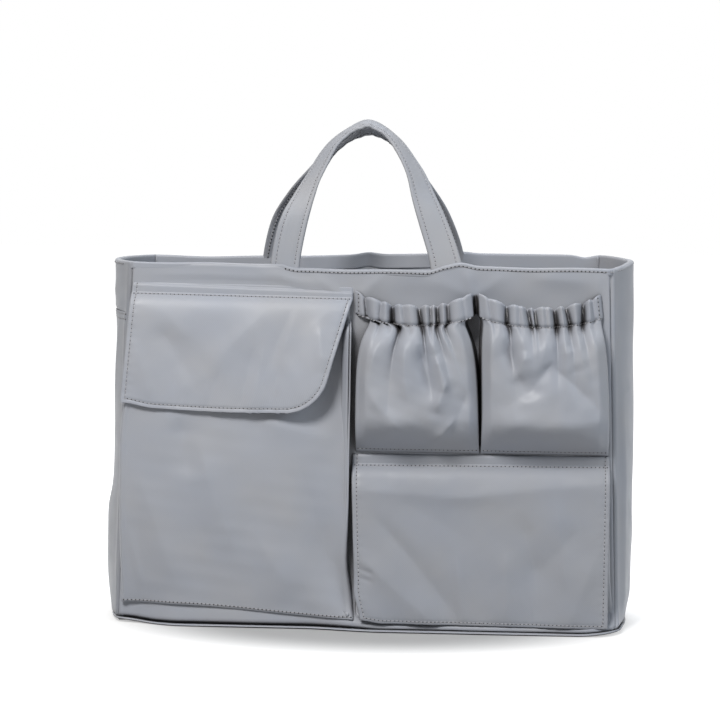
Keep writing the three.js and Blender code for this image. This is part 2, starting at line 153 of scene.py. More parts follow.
def spaced(low, high, step):
    """Evenly spaced values from low to high, about a step apart."""
    return np.linspace(low, high, max(3, int(round(abs(high - low) / step)) + 1))


def grid(a, b):
    return np.meshgrid(a, b, indexing="ij")


def at(x, y, z):
    """Points from their coordinates."""
    return np.stack(np.broadcast_arrays(x, y, z), axis=-1)


def unit(v):
    return v / np.maximum(np.linalg.norm(v, axis=-1, keepdims=True), 1e-9)


def half_width(z):
    """Half the width of the front and back walls at a height."""
    return mix(BASE_HALF, TOP_HALF, z / RIM_TOP)


def gusset_face(y, z):
    """Distance from the middle of the bowed side wall's outer face."""
    return half_width(z) + mix(BASE_BOW, TOP_BOW, z / RIM_TOP) * (1 - (y / FRONT) ** 2)


# Wrinkles
def rolling(a, b, wavelength, seed, waves=7):
    """Smooth rolling unevenness of about unit height."""
    draw = np.random.default_rng(seed)
    total = 0
    for _ in range(waves):
        angle, phase = draw.uniform(0, 2 * np.pi, 2)
        length = wavelength * draw.uniform(0.7, 1.6)
        total = total + np.sin(2 * np.pi * (a * np.cos(angle) + b * np.sin(angle)) / length + phase)
    return total / math.sqrt(2 * waves)


def fold(a, b, line, crisp=1.5):
    """One raised fold that widens and fades to its far end."""
    (a0, b0), (a1, b1), width, height = line
    length = math.hypot(a1 - a0, b1 - b0)
    along = ((a - a0) * (a1 - a0) + (b - b0) * (b1 - b0)) / length**2
    across = np.abs((a - a0) * (b1 - b0) - (b - b0) * (a1 - a0)) / length
    spread = width * (0.75 + 0.5 * np.clip(along, 0, 1))
    fade = rise(along, -0.15, 0.25) * rise(along, 1.2, 0.7)
    return height * np.exp(-((across / spread) ** crisp)) * fade


def folds(a, b, lines):
    return sum(fold(a, b, line) for line in lines)


# Paths on cloth, for seams and stitches
def run_lengths(points):
    """How far along a polyline each of its points lies."""
    return np.concatenate([[0], np.cumsum(np.linalg.norm(np.diff(points, axis=0), axis=1))])


def sample(places, steps, values):
    """Rows of values read at places along their run."""
    return np.stack([np.interp(places, steps, column) for column in values.T], axis=-1)


def densify(path, step):
    """The same polyline with points about a step apart."""
    path = np.asarray(path, float)
    length = run_lengths(path)
    return sample(spaced(0, length[-1], step), length, path)


def nearest(a, b, path):
    """Distance to a polyline, and how far along it the nearest point lies."""
    best = np.full(np.shape(a), np.inf)
    place = np.zeros(np.shape(a))
    done = 0.0
    for (a0, b0), (a1, b1) in zip(path[:-1], path[1:]):
        length = math.hypot(a1 - a0, b1 - b0)
        t = np.clip(((a - a0) * (a1 - a0) + (b - b0) * (b1 - b0)) / length**2, 0, 1)
        gap = np.hypot(a - a0 - t * (a1 - a0), b - b0 - t * (b1 - b0))
        place = np.where(gap < best, done + t * length, place)
        best = np.minimum(best, gap)
        done += length
    return best, place


def seam(a, b, path, depth=SEAM_DEPTH):
    """Groove along a stitched path, with the small puckers that its thread draws up."""
    gap, along = nearest(a, b, path)
    pucker = PUCKER_HEIGHT * np.cos(2 * np.pi * along / PUCKER_PITCH) * hump(gap, 0, PUCKER_REACH)
    return pucker - depth * hump(gap, 0, SEAM_HALF)


def corner_arc(start, corner, end, radius, count=14):
    """Round corner between two straight edges: the arc's points, and its middle."""
    start, corner, end = (np.asarray(p, float) for p in (start, corner, end))
    one, two = unit(start - corner), unit(end - corner)
    half = math.acos(one @ two) / 2
    middle = corner + unit(one + two) * radius / math.sin(half)
    first, last = (corner + way * radius / math.tan(half) - middle for way in (one, two))
    swing = math.acos(first @ last / radius**2)
    t = np.linspace(0, 1, count)[:, None]
    arc = (np.sin((1 - t) * swing) * first + np.sin(t * swing) * last) / math.sin(swing)
    return middle + arc, middle


def catmull_rom(p0, p1, p2, p3, f):
    """Place at a share f of the way from p1 to p2, on a smooth curve through four points."""
    bend = 2 * p0 - 5 * p1 + 4 * p2 - p3
    twist = 3 * p1 - p0 - 3 * p2 + p3
    return 0.5 * (2 * p1 + (p2 - p0) * f + bend * f**2 + twist * f**3)


def closed_spline(points, count):
    """Smooth closed curve through points."""
    points = np.asarray(points, float)
    t = np.linspace(0, len(points), count, endpoint=False)
    k = np.floor(t).astype(int)
    return catmull_rom(*(points[(k + shift) % len(points)] for shift in (-1, 0, 1, 2)), (t - k)[:, None])


def open_spline(points, t):
    """Smooth curve through points, with t counting them from 0."""
    padded = np.concatenate([[2 * points[0] - points[1]], points, [2 * points[-1] - points[-2]]])
    k = np.clip(np.floor(t).astype(int), 0, len(points) - 2)
    return catmull_rom(*(padded[k + shift] for shift in range(4)), (t - k)[..., None])


# Meshes
def make_mesh(name, points, faces, uv, materials, face_slots=None):
    """A smooth mesh object from points in mm, with a map in metres for the weave."""
    mesh = bpy.data.meshes.new(name)
    mesh.from_pydata((np.asarray(points) * MM).tolist(), [], faces)
    loops = np.zeros(len(mesh.loops), np.int32)
    mesh.loops.foreach_get("vertex_index", loops)
    layer = mesh.uv_layers.new(name="weave")
    layer.data.foreach_set("uv", (np.asarray(uv)[loops] * MM).astype(np.float32).ravel())
    mesh.polygons.foreach_set("use_smooth", np.ones(len(mesh.polygons), bool))
    for material in materials:
        mesh.materials.append(material)
    if face_slots is not None:
        mesh.polygons.foreach_set("material_index", face_slots)
    mesh.update()
    obj = bpy.data.objects.new(name, mesh)
    bpy.context.scene.collection.objects.link(obj)
    return obj


def numbered(points):
    """Vertex numbers of a grid of points."""
    return np.arange(points.shape[0] * points.shape[1]).reshape(points.shape[:2])


def grid_lengths(points):
    """Map coordinates of a grid: mean arc length along each direction."""
    along = np.linalg.norm(np.diff(points, axis=0), axis=2).mean(axis=1)
    across = np.linalg.norm(np.diff(points, axis=1), axis=2).mean(axis=0)
    return np.stack(grid(*(np.concatenate([[0], np.cumsum(gaps)]) for gaps in (along, across))), axis=-1)


def grid_faces(index, wrap=False, tube=False):
    """Quads of a grid of vertex numbers, joined end to start along its first or second direction."""
    if tube:
        index = np.concatenate([index, index[:, :1]], axis=1)
    if wrap:
        index = np.concatenate([index, index[:1]])
    corners = (index[:-1, :-1], index[1:, :-1], index[1:, 1:], index[:-1, 1:])
    return np.stack([c.ravel() for c in corners], axis=1)


def border(index):
    """The grid's rim as a closed run of its entries."""
    return np.concatenate([index[:-1, 0], index[-1, :-1], index[:0:-1, -1], index[0, :0:-1]])


def cloth(name, outer, thickness, material, flip=False):
    """A closed piece of cloth from a grid of points on its outer face, with a rounded cut edge."""
    normal = unit(np.cross(np.gradient(outer, axis=0), np.gradient(outer, axis=1)))
    inner = outer + normal * (thickness if flip else -thickness)
    index = numbered(outer)
    count = index.size
    rim = border(index)
    inward = np.zeros_like(outer)
    inward[0] += outer[1] - outer[0]
    inward[-1] += outer[-2] - outer[-1]
    inward[:, 0] += outer[:, 1] - outer[:, 0]
    inward[:, -1] += outer[:, -2] - outer[:, -1]
    middle = (outer + inner) / 2 - unit(inward) * thickness * EDGE_ROUND
    ring = 2 * count + np.arange(len(rim))
    ahead = np.roll(ring, -1)
    rim_ahead = np.roll(rim, -1)
    faces = np.concatenate([
        grid_faces(index),
        grid_faces(index + count)[:, ::-1],
        np.stack([rim, ring, ahead, rim_ahead], axis=1),
        np.stack([ring, rim + count, rim_ahead + count, ahead], axis=1),
    ])
    points = np.concatenate([outer.reshape(-1, 3), inner.reshape(-1, 3), middle.reshape(-1, 3)[rim]])
    flat = grid_lengths(outer).reshape(-1, 2)
    uv = np.concatenate([flat, flat, flat[rim]])
    faces = faces[:, ::-1] if flip else faces
    return make_mesh(name, points, faces.tolist(), uv, [material])


def loop_tube(name, points, material):
    """A closed ring from a grid that wraps in both directions."""
    faces = grid_faces(numbered(points), wrap=True, tube=True)
    closed = np.concatenate([points, points[:, :1]], axis=1)
    uv = grid_lengths(closed)[:, :-1].reshape(-1, 2)
    return make_mesh(name, points.reshape(-1, 3), faces.tolist(), uv, [material])


def turns(sides):
    """Cosine and sine of even turns round a circle."""
    angle = 2 * np.pi * np.arange(sides) / sides
    return np.cos(angle), np.sin(angle)


def pin_shape(line, girths, ring, flip=False):
    """Points and faces of a small closed tube: a ring, scaled by its girth at each point of a line."""
    points = np.stack([centre + girth * ring for centre, girth in zip(line, girths)])
    index = numbered(points)
    faces = [*grid_faces(index, tube=True).tolist(), index[0, ::-1].tolist(), index[-1].tolist()]
    return points.reshape(-1, 3), [face[::-1] for face in faces] if flip else faces


def copied(faces, count, size, base=0):
    """The faces of copies of a shape, each copy with its own points."""
    return [[base + k * size + i for i in face] for k in range(count) for face in faces]


# Stitching
def stitch_shape():
    """One thread stitch along +X, arched, with its ends under the cloth."""
    lift = STITCH_ARCH * (1 - (2 * STITCH_PLACES) ** 2) * STITCH_LENGTH - 0.5 * STITCH_RADIUS
    line = at(STITCH_PLACES * STITCH_LENGTH, 0, lift)
    return pin_shape(line, STITCH_GIRTHS * STITCH_RADIUS, at(0, *turns(6)), flip=True)


def hole_shape(sides=6):
    """One needle hole: a flat lens between two stitches, near-black as painted shade for the dent where the
    thread goes in.
    """
    cosine, sine = turns(sides)
    ring = at(HOLE_LONG * cosine, HOLE_WIDE * sine, 0)
    points = np.concatenate([ring, [(0, 0, HOLE_TALL), (0, 0, -HOLE_TALL)]])
    top = [[k, (k + 1) % sides, sides] for k in range(sides)]
    low = [[(k + 1) % sides, k, sides + 1] for k in range(sides)]
    return points, top + low


def surface_frame(surface, path, step=0.05):
    """Points and outward normals where a path in cloth coordinates lies on a surface."""
    a, b = path[:, 0], path[:, 1]
    along = surface(a + step, b) - surface(a - step, b)
    across = surface(a, b + step) - surface(a, b - step)
    return surface(a, b), unit(np.cross(along, across))


def run_of_stitches(surface, path, flip=False, dense=PATH_STEP):
    """Places, directions and normals of the stitches, and then of the holes, along a path on a surface."""
    points, normals = surface_frame(surface, densify(path, dense))
    normals = -normals if flip else normals
    length = run_lengths(points)
    count = max(1, int(length[-1] // STITCH_PITCH))
    pitch = length[-1] / count
    look = 0.3
    frames = []
    for places in ((np.arange(count) + 0.5) * pitch, np.arange(count + 1) * pitch):
        ahead = unit(sample(places + look, length, points) - sample(places - look, length, points))
        frames.append((sample(places, length, points), ahead, unit(sample(places, length, normals))))
    return frames


def stitching(name, runs):
    """All the stitches of a piece as one mesh: thread, and the needle holes between, whose near-black colour
    is painted shade.
    """
    points, faces, slots = [], [], []
    base = 0
    for slot, (shape, shape_faces) in enumerate((stitch_shape(), hole_shape())):
        slant = STITCH_SLANT if slot == 0 else 0
        for run in runs:
            place, ahead, up = run[slot]
            x = ahead * math.cos(slant) + unit(np.cross(up, ahead)) * math.sin(slant)
            axes = np.stack([x, unit(np.cross(up, x)), up], axis=1)
            points.append((place[:, None] + shape @ axes).reshape(-1, 3))
            faces += copied(shape_faces, len(place), len(shape), base)
            slots += [slot] * (len(place) * len(shape_faces))
            base += len(place) * len(shape)
    points = np.concatenate(points)
    return make_mesh(name, points, faces, points[:, [0, 2]], [THREAD, NEEDLE_HOLE_SHADE], slots)


# Materials
PATCH_SCALE = 22
PATCH_SPAN = (0.32, 0.68)
GLOSS_SCALE = 60
GLOSS_SPREAD = (-0.05, 0.06)
FIBRE_DETAIL = 8
FIBRE_SPAN = (0.3, 0.7)
RIB_SHADE = (0.93, 0.93, 0.94)
WHITE = (1, 1, 1)
WAVE_TURNS = {"DIAGONAL": 10, "Y": 20}
# Painted shade deep in folds and slots: how far it looks round, the openness it spans, and its darkest colour
CREASE_REACH = 14.0
CREASE_OPEN = (0.22, 0.60)
CREASE_SHADE_COLOUR = (0.10, 0.088, 0.082)
SHELL_COOL = np.array((0.358, 0.377, 0.423))
SHELL_WARM = np.array((0.381, 0.389, 0.415))


def set_inputs(node, values):
    for socket, value in values.items():
        node.inputs[socket].default_value = value


def add_node(tree, kind, inputs, **settings):
    """A new shader node with its own settings and the values of its inputs."""
    node = tree.nodes.new("ShaderNode" + kind)
    for setting, value in settings.items():
        setattr(node, setting, value)
    set_inputs(node, inputs)
    return node


def link(tree, source, output, target, socket):
    tree.links.new(source.outputs[output], target.inputs[socket])


def new_material(name, roughness):
    material = bpy.data.materials.new(name)
    material.use_nodes = True
    tree = material.node_tree
    shader = tree.nodes["Principled BSDF"]
    set_inputs(shader, {"Roughness": roughness})
    return material, tree, shader, add_node(tree, "UVMap", {}, uv_map="weave")


def noise(tree, where, scale, detail=3.0):
    node = add_node(tree, "TexNoise", {"Scale": scale, "Detail": detail})
    link(tree, where, "UV", node, "Vector")
    return node


def ramp(tree, source, output, stops):
    """Output socket of a colour that changes between two stops."""
    node = add_node(tree, "ValToRGB", {})
    for element, (place, colour) in zip(node.color_ramp.elements, stops):
        element.position = place
        element.color = (*colour, 1)
    link(tree, source, output, node, "Fac")
    return node.outputs["Color"]


def bands(tree, where, pitch, direction):
    """Ribs at a pitch in mm. A wave node repeats each 2 pi / 20 of its scaled place, or / 10 on the slant."""
    values = {"Scale": 2 * math.pi / (WAVE_TURNS[direction] * pitch * MM), "Distortion": 0.6, "Detail": 1}
    node = add_node(tree, "TexWave", values, wave_type="BANDS", bands_direction=direction)
    link(tree, where, "UV", node, "Vector")
    return node


def multiply(tree, first, second):
    """Output socket of the product of two colours."""
    node = add_node(tree, "Mix", {}, data_type="RGBA", blend_type="MULTIPLY")
    set_inputs(node, {"Factor": 1.0})
    tree.links.new(first, node.inputs["A"])
    tree.links.new(second, node.inputs["B"])
    return node.outputs["Result"]


def bump(tree, shader, source, strength, height):
    node = add_node(tree, "Bump", {"Strength": strength, "Distance": height * MM})
    link(tree, source, "Fac", node, "Height")
    link(tree, node, "Normal", shader, "Normal")


def painted_crease_shade(tree):
    """Painted shade: darker colour for cloth that lies deep in a fold or slot, by how little of its
    surroundings is open.
    """
    node = add_node(tree, "AmbientOcclusion", {"Distance": CREASE_REACH * MM})
    return ramp(tree, node, "AO", zip(CREASE_OPEN, (CREASE_SHADE_COLOUR, WHITE)))


def satin(name, cool, warm, rough, sheen, twill, with_crease_shade=False):
    """Woven nylon: twill ribs, faint patches of cool and warm grey, uneven satin gloss, and where asked,
    painted shade that darkens the colour deep in folds and slots.
    """
    material, tree, shader, where = new_material(name, rough)
    tint = ramp(tree, noise(tree, where, PATCH_SCALE), "Fac", zip(PATCH_SPAN, (cool, warm)))
    ribs = bands(tree, where, twill, "DIAGONAL")
    colour = multiply(tree, tint, ramp(tree, ribs, "Fac", ((0, RIB_SHADE), (1, WHITE))))
    if with_crease_shade:
        colour = multiply(tree, colour, painted_crease_shade(tree))
    tree.links.new(colour, shader.inputs["Base Color"])
    low, high = (rough + change for change in GLOSS_SPREAD)
    gloss = add_node(tree, "MapRange", {"From Min": 0.3, "From Max": 0.7, "To Min": low, "To Max": high})
    link(tree, noise(tree, where, GLOSS_SCALE), "Fac", gloss, "Value")
    link(tree, gloss, "Result", shader, "Roughness")
    bump(tree, shader, ribs, 0.25, 0.05)
    set_inputs(shader, {"Sheen Weight": sheen, "Sheen Roughness": 0.45, "Specular IOR Level": 0.25})
    return material


def shell_with_painted_light(name, share=1.0, with_crease_shade=False):
    """Shell cloth; share scales its colour, painted lighter or darker for how the light falls on that piece,
    and painted shade may darken it in creases.
    """
    return satin(name, share * SHELL_COOL, share * SHELL_WARM, 0.41, 0.03, 1.25, with_crease_shade)


def two_tone(name, tones, rough, pattern, span, relief):
    """A pattern in a dark and a pale tone, raised by a strength and a height where relief gives them."""
    material, tree, shader, where = new_material(name, rough)
    source = pattern(tree, where)
    tree.links.new(ramp(tree, source, "Fac", zip(span, tones)), shader.inputs["Base Color"])
    if relief:
        bump(tree, shader, source, *relief)
    return material


def fibrous(name, dark, pale, rough, scale, *relief):
    """Felt, tape pile or board: matted fibres without a weave."""
    def fibres(tree, where):
        return noise(tree, where, scale, FIBRE_DETAIL)

    return two_tone(name, (dark, pale), rough, fibres, FIBRE_SPAN, relief)


def ribbed(name, dark, pale, rough, pitch, direction, *relief):
    """Knitted elastic, or the slanting plies of thread."""
    def ribs(tree, where):
        return bands(tree, where, pitch, direction)

    return two_tone(name, (dark, pale), rough, ribs, (0, 1), relief)


SHELL = shell_with_painted_light("shell_nylon")
# Painted shade: this copy of the shell cloth darkens its colour deep in folds, slots and corners
CREASE_SHADED = shell_with_painted_light("shell_nylon_crease_shaded", with_crease_shade=True)
# Painted light and shade: the left flap's colour is painted lighter, the lower flap's and the left side's
# darker, for how the light falls on them
LEFT_FLAP_PAINTED_LIGHTER = shell_with_painted_light("left_flap_nylon_painted_lighter", 1.06)
LOWER_FLAP_PAINTED_DARKER = shell_with_painted_light("lower_flap_nylon_painted_darker", 0.89)
LEFT_SIDE_PAINTED_DARKER = shell_with_painted_light("left_side_nylon_painted_darker", 0.80, with_crease_shade=True)
STRAP = satin("strap_nylon", (0.350, 0.366, 0.404), (0.380, 0.382, 0.396), 0.55, 0.03, 0.62)
LINING = satin("lining_nylon", (0.48, 0.50, 0.545), (0.51, 0.52, 0.545), 0.48, 0.04, 0.8)
THREAD = ribbed("thread", (0.27, 0.27, 0.285), (0.42, 0.42, 0.44), 0.6, 0.3, "DIAGONAL")
# Needle holes: real holes, made near-black as painted shade in the dents where the thread goes into the cloth
NEEDLE_HOLE_SHADE = fibrous("needle_hole_shade", (0.020, 0.018, 0.018), (0.040, 0.036, 0.036), 0.9, 900, 0.3, 0.05)
FELT = fibrous("interlining_felt", (0.60, 0.58, 0.53), (0.80, 0.78, 0.73), 0.95, 700, 0.7, 0.4)
BOARD = fibrous("base_board", (0.06, 0.06, 0.065), (0.11, 0.11, 0.115), 0.7, 500, 0.4, 0.2)
ELASTIC = ribbed("elastic_band", (0.42, 0.42, 0.42), (0.72, 0.72, 0.71), 0.85, 1.1, "Y", 0.6, 0.2)
LOOPS = fibrous("loop_tape", (0.16, 0.165, 0.18), (0.30, 0.305, 0.325), 0.95, 1600, 1.0, 0.6)
HOOKS = fibrous("hook_tape", (0.15, 0.155, 0.17), (0.22, 0.225, 0.24), 0.5, 900, 0.5, 0.2)


# Handing pieces to the frame
def seat(obj, body, replaces=(), across=None):
    """Rides a piece on a body, or, given across, leaves it unattached with its transform baked into its mesh.
    """
    if across:
        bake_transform(obj)
    else:
        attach(obj, body)
    if replaces:
        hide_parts(*replaces)
    return obj


def sewn(obj, *nodes, across=None):
    """Shell cloth that is sewn to the shell, and stands for these nodes."""
    return seat(obj, "shell", nodes, across)


def metres(*point):
    return tuple(c * MM for c in point)


# How the rim and the base wander from the plain solids
BASE_CORNER_LIFT = 1.8
FOOT_BOW = (9.0, 16.0)
FOOT_BOW_HEIGHT = (60.0, 15.0)
BACK_LEAN = 8.0
LIFT_START = 185
PANEL_END = 0.2


def rim_lift(x, y):
    """How far the rim stands above its plain height along the front, the back and the right side."""
    slack = rise(x, -58, -44) - rise(x, 34, 46)
    front = 2.4 * hump(x, 55, 8) - 2.6 * slack - 0.3 + 0.25 * np.sin(x / 9)
    back = mix(0.3, 4.2, rise(x, -110, 80)) + 1.3 * hump(x, -5, 7) + 1.0 * hump(x, 57, 7)
    back = back - 1.6 * hump(x, 136, 6) - 0.8 * hump(x, -112, 20)
    side = 2.2 * rise(x, TOP_HALF, TOP_HALF + 6) * hump(y, -14, 24)
    return mix(front, back, rise(y, FRONT, -FRONT)) + side


def base_lift(x, y):
    """The base's soft corners stand a little off the ground."""
    return BASE_CORNER_LIFT * rise(np.abs(x), 130, 156) * rise(np.abs(y), 20, 50)


def lifted(x, y, z):
    """Height of a wall's point after the wandering of the rim and of the base's corners."""
    return z + rise(z, LIFT_START, RIM_TOP) * rim_lift(x, y) + rise(z, 40, 0) * base_lift(x, y)


def foot_bow(x, z):
    """How far the front wall's foot bows forward between the soft corners, left and right."""
    right = rise(x, -40, 10)
    corner = np.sqrt(1 - np.clip((x - 138) / 21, 0, 1) ** 2)
    ends = rise(x, -149, -115) * corner
    return mix(*FOOT_BOW, right) * ends * rise(z, mix(*FOOT_BOW_HEIGHT, right), 0)


def base_bow(x, y, z):
    """The same bow, carried round the corners onto the front of the side walls."""
    reach = half_width(z) - PANEL_END
    return foot_bow(np.clip(x, -reach, reach), z) * rise(y, -26, -48)


def back_lean(x, z):
    """How far the back wall's rim leans in over the inside, mostly left of the middle."""
    left = rise(x, -62, -46) * np.clip((-6 - x) / 42, 0, 1)
    right = 0.25 * rise(x, -6, 8) * rise(x, 48, 18)
    return BACK_LEAN * (left + right) * rise(z, 207, 222)


# Walls
SIDE_SINK = 2.6
SIDE_TOP = SIDE_POCKET_HIGH[2] - 3.4
PANEL_ROLL = 1.5
PANEL_FOOT = WALL_FOOT + 1.1
GUSSET_END = 48.4
CORNER_FLARE = 1.3
SEAM_ALLOWANCE = 2.4
SEAM_LAP = 1.2
NEAR_EDGE = np.array([0.3, 0.7, 1.2, 1.8])
FRONT_FOLDS = [
    ((-140, 219), (-30, 217), 2.0, 0.55), ((-125, 215.5), (-60, 214.5), 1.4, -0.45),
    ((-70, 222), (-25, 213), 4.0, 0.8), ((-14, 206), (-34, 221), 3.2, 1.1), ((-8, 208), (8, 222), 3.5, 0.8),
    ((62, 204), (60, 222), 3.0, 1.5), ((62, 206), (84, 221), 4.0, 0.8), ((60, 206), (36, 220), 4.5, 0.9),
    ((100, 220), (138, 217), 4.5, 0.9), ((138, 206), (142, 222), 3.0, 0.9),
]
BACK_FOLDS = [
    ((-120, 200), (-60, 120), 12, 1.4), ((110, 195), (50, 90), 14, 1.3), ((-40, 60), (60, 30), 12, 1.2),
    ((-130, 70), (-70, 25), 10, 1.1), ((120, 60), (80, 20), 9, 1.0), ((-60, 214), (-52, 150), 5, 1.2),
    ((57, 214), (50, 140), 5, 1.2),
]
LEFT_GUSSET_FOLDS = [((-30, 210), (20, 200), 6, 0.8), ((-40, 190), (-44, 120), 3, 0.8)]
RIGHT_GUSSET_FOLDS = [
    ((-46, 148), (-20, 150), 2.2, 1.1), ((-44, 200), (-38, 60), 3.5, 0.9), ((-10, 210), (0, 120), 7, 1.0),
    ((20, 150), (30, 40), 7, 1.1), ((-30, 80), (10, 40), 7, 0.9),
]


def close_set(low, high, step):
    """Values a step apart, with a few more close to both ends where cloth turns in."""
    return np.unique(np.concatenate([spaced(low, high, step), low + NEAR_EDGE, high - NEAR_EDGE]))


def turned_in(outer, first, last):
    """A grid with one more row at each end, for the seam allowances that turn inside."""
    return np.concatenate([outer[:1] + np.array(first), outer, outer[-1:] + np.array(last)])


def front_relief(x, z):
    """How far the front panel stands out of its plane."""
    hollow = 1.5 * hump(x, 26, 16) * hump(z, 209, 9) + 1.5 * hump(x, 116, 18) * hump(z, 208, 9)
    return folds(x, z, FRONT_FOLDS) - hollow + 0.35 * rolling(x, z, 46, 11)


def back_relief(x, z):
    return folds(x, z, BACK_FOLDS) + 0.6 * rolling(x, z, 70, 12)


def left_gusset_relief(y, z):
    under_pocket = SIDE_SINK * rise(z, SIDE_TOP + 1.8, SIDE_TOP - 1.2)
    return folds(y, z, LEFT_GUSSET_FOLDS) + 0.4 * rolling(y, z, 40, 21) - under_pocket


def right_gusset_relief(y, z):
    full = 0.7 + 2.7 * rise(z, 190, 100) * rise(z, 2, 22)
    return full + 0.6 * folds(y, z, RIGHT_GUSSET_FOLDS) + 0.25 * rolling(y, z, 60, 22)


def wall(name, facing, relief, step):
    """Front or back panel with its side edges turned in to the corner seams."""
    u = close_set(-BASE_HALF, BASE_HALF, step) / BASE_HALF
    u, z = grid(u, mix(PANEL_FOOT, WALL_TOP, spaced(0, 1, step / WALL_TOP)))
    reach = half_width(z) - PANEL_END
    x = u * reach
    from_side = reach - np.abs(x)
    drop = rolled(from_side, PANEL_ROLL) + rolled(z - PANEL_FOOT, PANEL_ROLL)
    calm = rise(from_side, 0, 8) * rise(z, WALL_TOP + 4, WALL_TOP - 6)
    bow = foot_bow(x, z) if facing < 0 else -back_lean(x, z)
    y = facing * (-FRONT + relief(x, z) * calm - drop + bow)
    inward = -facing * SEAM_ALLOWANCE
    ends = (SEAM_ALLOWANCE, inward, 0), (-SEAM_ALLOWANCE, inward, 0)
    return cloth(name, turned_in(at(x, y, lifted(x, y, z)), *ends), SHELL_CLOTH, CREASE_SHADED, flip=facing > 0)


def gusset(name, side, relief, step, material):
    """Bowed side wall with its edges turned in to the corner seams."""
    y, z = grid(close_set(-GUSSET_END, GUSSET_END, step), spaced(PANEL_FOOT, WALL_TOP, step))
    from_end = GUSSET_END - np.abs(y)
    x = gusset_face(y, z) + relief(y, z) * rise(from_end, 0, 12) + CORNER_FLARE * hump(from_end, 0, 5)
    x = side * (x - rolled(from_end, PANEL_ROLL) - rolled(z - PANEL_FOOT, PANEL_ROLL))
    outer = at(x, y - base_bow(side * BASE_HALF, y, z), lifted(x, y, z))
    inward = -side * SEAM_ALLOWANCE
    ends = (inward, SEAM_LAP, 0), (inward, -SEAM_LAP, 0)
    return cloth(name, turned_in(outer, *ends), SHELL_CLOTH, material, flip=side < 0)


# Bottom and rim
BOTTOM_PROFILE = [
    (0.0, 1.0, 0.0), (0.5, 1.0, 0.0), (0.95, 1.0, 0.0), (1, 1.6, 0.02), (1, 0.3, 0.1), (1, -0.45, 0.5),
    (1, -0.55, 1.0), (1, -0.1, 1.5), (1, 0.9, 1.6), (1, 1.6, 1.4), (0.95, 1.0, 0.8), (0.5, 1.0, 0.8),
    (0.0, 1.0, 0.8),
]
BOTTOM_SOFTENING = 50
RIM_PROFILE = [
    (1.3, -4.0), (1.72, -3.2), (1.78, -2.2), (2.0, -1.5), (1.9, -0.7), (1.2, 0.0), (0.1, 0.22), (-1.0, 0.0),
    (-1.55, -0.7), (-1.72, -1.5), (-1.86, -3.0), (-2.05, -6.0), (-2.2, -9.0), (-1.45, -7.6), (-0.9, -2.0),
    (0, -1.3), (1.1, -1.6), (1.1, -3.4),
]
RIM_STEPS, RIM_SIDES, RIM_ROW_STEPS = 560, 44, 1400
RIM_MIDDLE = 1.7
RIM_CREST = RIM_TOP - 0.3
RIM_INNER_BEAD = 0.3
RIM_STITCH_DROP = 1.95
RIM_STITCH_OUT = 1.95
RIM_CORNER_SOFTENING = 4


def outline_at(z, out, count, softening):
    """The body's outline at a height, pushed outwards, as a closed run with softened corners."""
    x = spaced(-half_width(z), half_width(z), 1.5)
    y = spaced(FRONT, -FRONT, 1.5)
    front = np.column_stack([x, np.full_like(x, FRONT - out)])
    right = np.column_stack([gusset_face(y, z) + out, y])
    ring = densify(np.concatenate([front, right, -front, -right, front[:1]]), 1.0)[:-1]
    for _ in range(softening):
        ring = (np.roll(ring, 1, axis=0) + 2 * ring + np.roll(ring, -1, axis=0)) / 4
    closed = np.concatenate([ring, ring[:1]])
    length = run_lengths(closed)
    return sample(np.linspace(0, length[-1], count, endpoint=False), length, closed)


def outward(ring):
    """Outward directions of a closed run."""
    along = np.roll(ring, -1, axis=0) - np.roll(ring, 1, axis=0)
    return unit(np.column_stack([along[:, 1], -along[:, 0]]))


def bottom_panel(around=360):
    """Bottom cloth whose edge turns up round the base and shows below the wall's seam.

    Its profile is (share of the outline, inset, height), from the middle out and back over the top.
    """
    ring = outline_at(0, BASE_WELT * 0.4, around, BOTTOM_SOFTENING)
    rows = []
    for scale, inset, z in BOTTOM_PROFILE[1:-1]:
        x, y = (scale * ring - outward(ring) * inset).T
        edge = scale == 1
        rows.append(at(x, y - edge * base_bow(x, y, 0), z + edge * base_lift(x, y)))
    points = np.stack(rows, axis=1)
    index = numbered(points)
    low, high = index.size, index.size + 1
    faces = grid_faces(index, wrap=True).tolist()
    for here, ahead in zip(index.tolist(), np.roll(index, -1, axis=0).tolist()):
        faces.append([ahead[0], here[0], low])
        faces.append([here[-1], ahead[-1], high])
    middles = [(0, 0, BOTTOM_PROFILE[0][2]), (0, 0, BOTTOM_PROFILE[-1][2])]
    points = np.concatenate([points.reshape(-1, 3), middles])
    return make_mesh("bottom_cloth", points, faces, points[:, :2], [CREASE_SHADED])


def rim_frame(count):
    """Middle line of the rim with its outward directions."""
    ring = outline_at(RIM_TOP, -RIM_MIDDLE, count, RIM_CORNER_SOFTENING)
    ring[:, 1] -= back_lean(ring[:, 0], RIM_TOP) * (ring[:, 1] > 0)
    return ring, outward(ring)


def rim_bead(x, y):
    """How far the rolled edge stands out of the wall: hardly at all on the front's left."""
    return 0.9 - 0.75 * rise(x, -44, -64) * rise(y, -30, -45) + 0.1 * np.sin(x / 7)


def rim_roll():
    """Rolled edge round the open top, drawn in along its stitching."""
    ring, away = rim_frame(RIM_STEPS)
    profile = closed_spline(RIM_PROFILE, RIM_SIDES)
    out = profile[None, :, 0]
    stand = np.clip(np.abs(out) - RIM_MIDDLE, 0, None)
    bead = np.where(out > 0, rim_bead(*ring.T)[:, None], RIM_INNER_BEAD)
    out = out - np.sign(out) * stand * (1 - bead)
    xy = ring[:, None] + away[:, None] * out[..., None]
    z = RIM_CREST + profile[None, :, 1] + rim_lift(*ring.T)[:, None]
    return loop_tube("rim_roll", np.concatenate([xy, z[..., None]], axis=2), CREASE_SHADED)


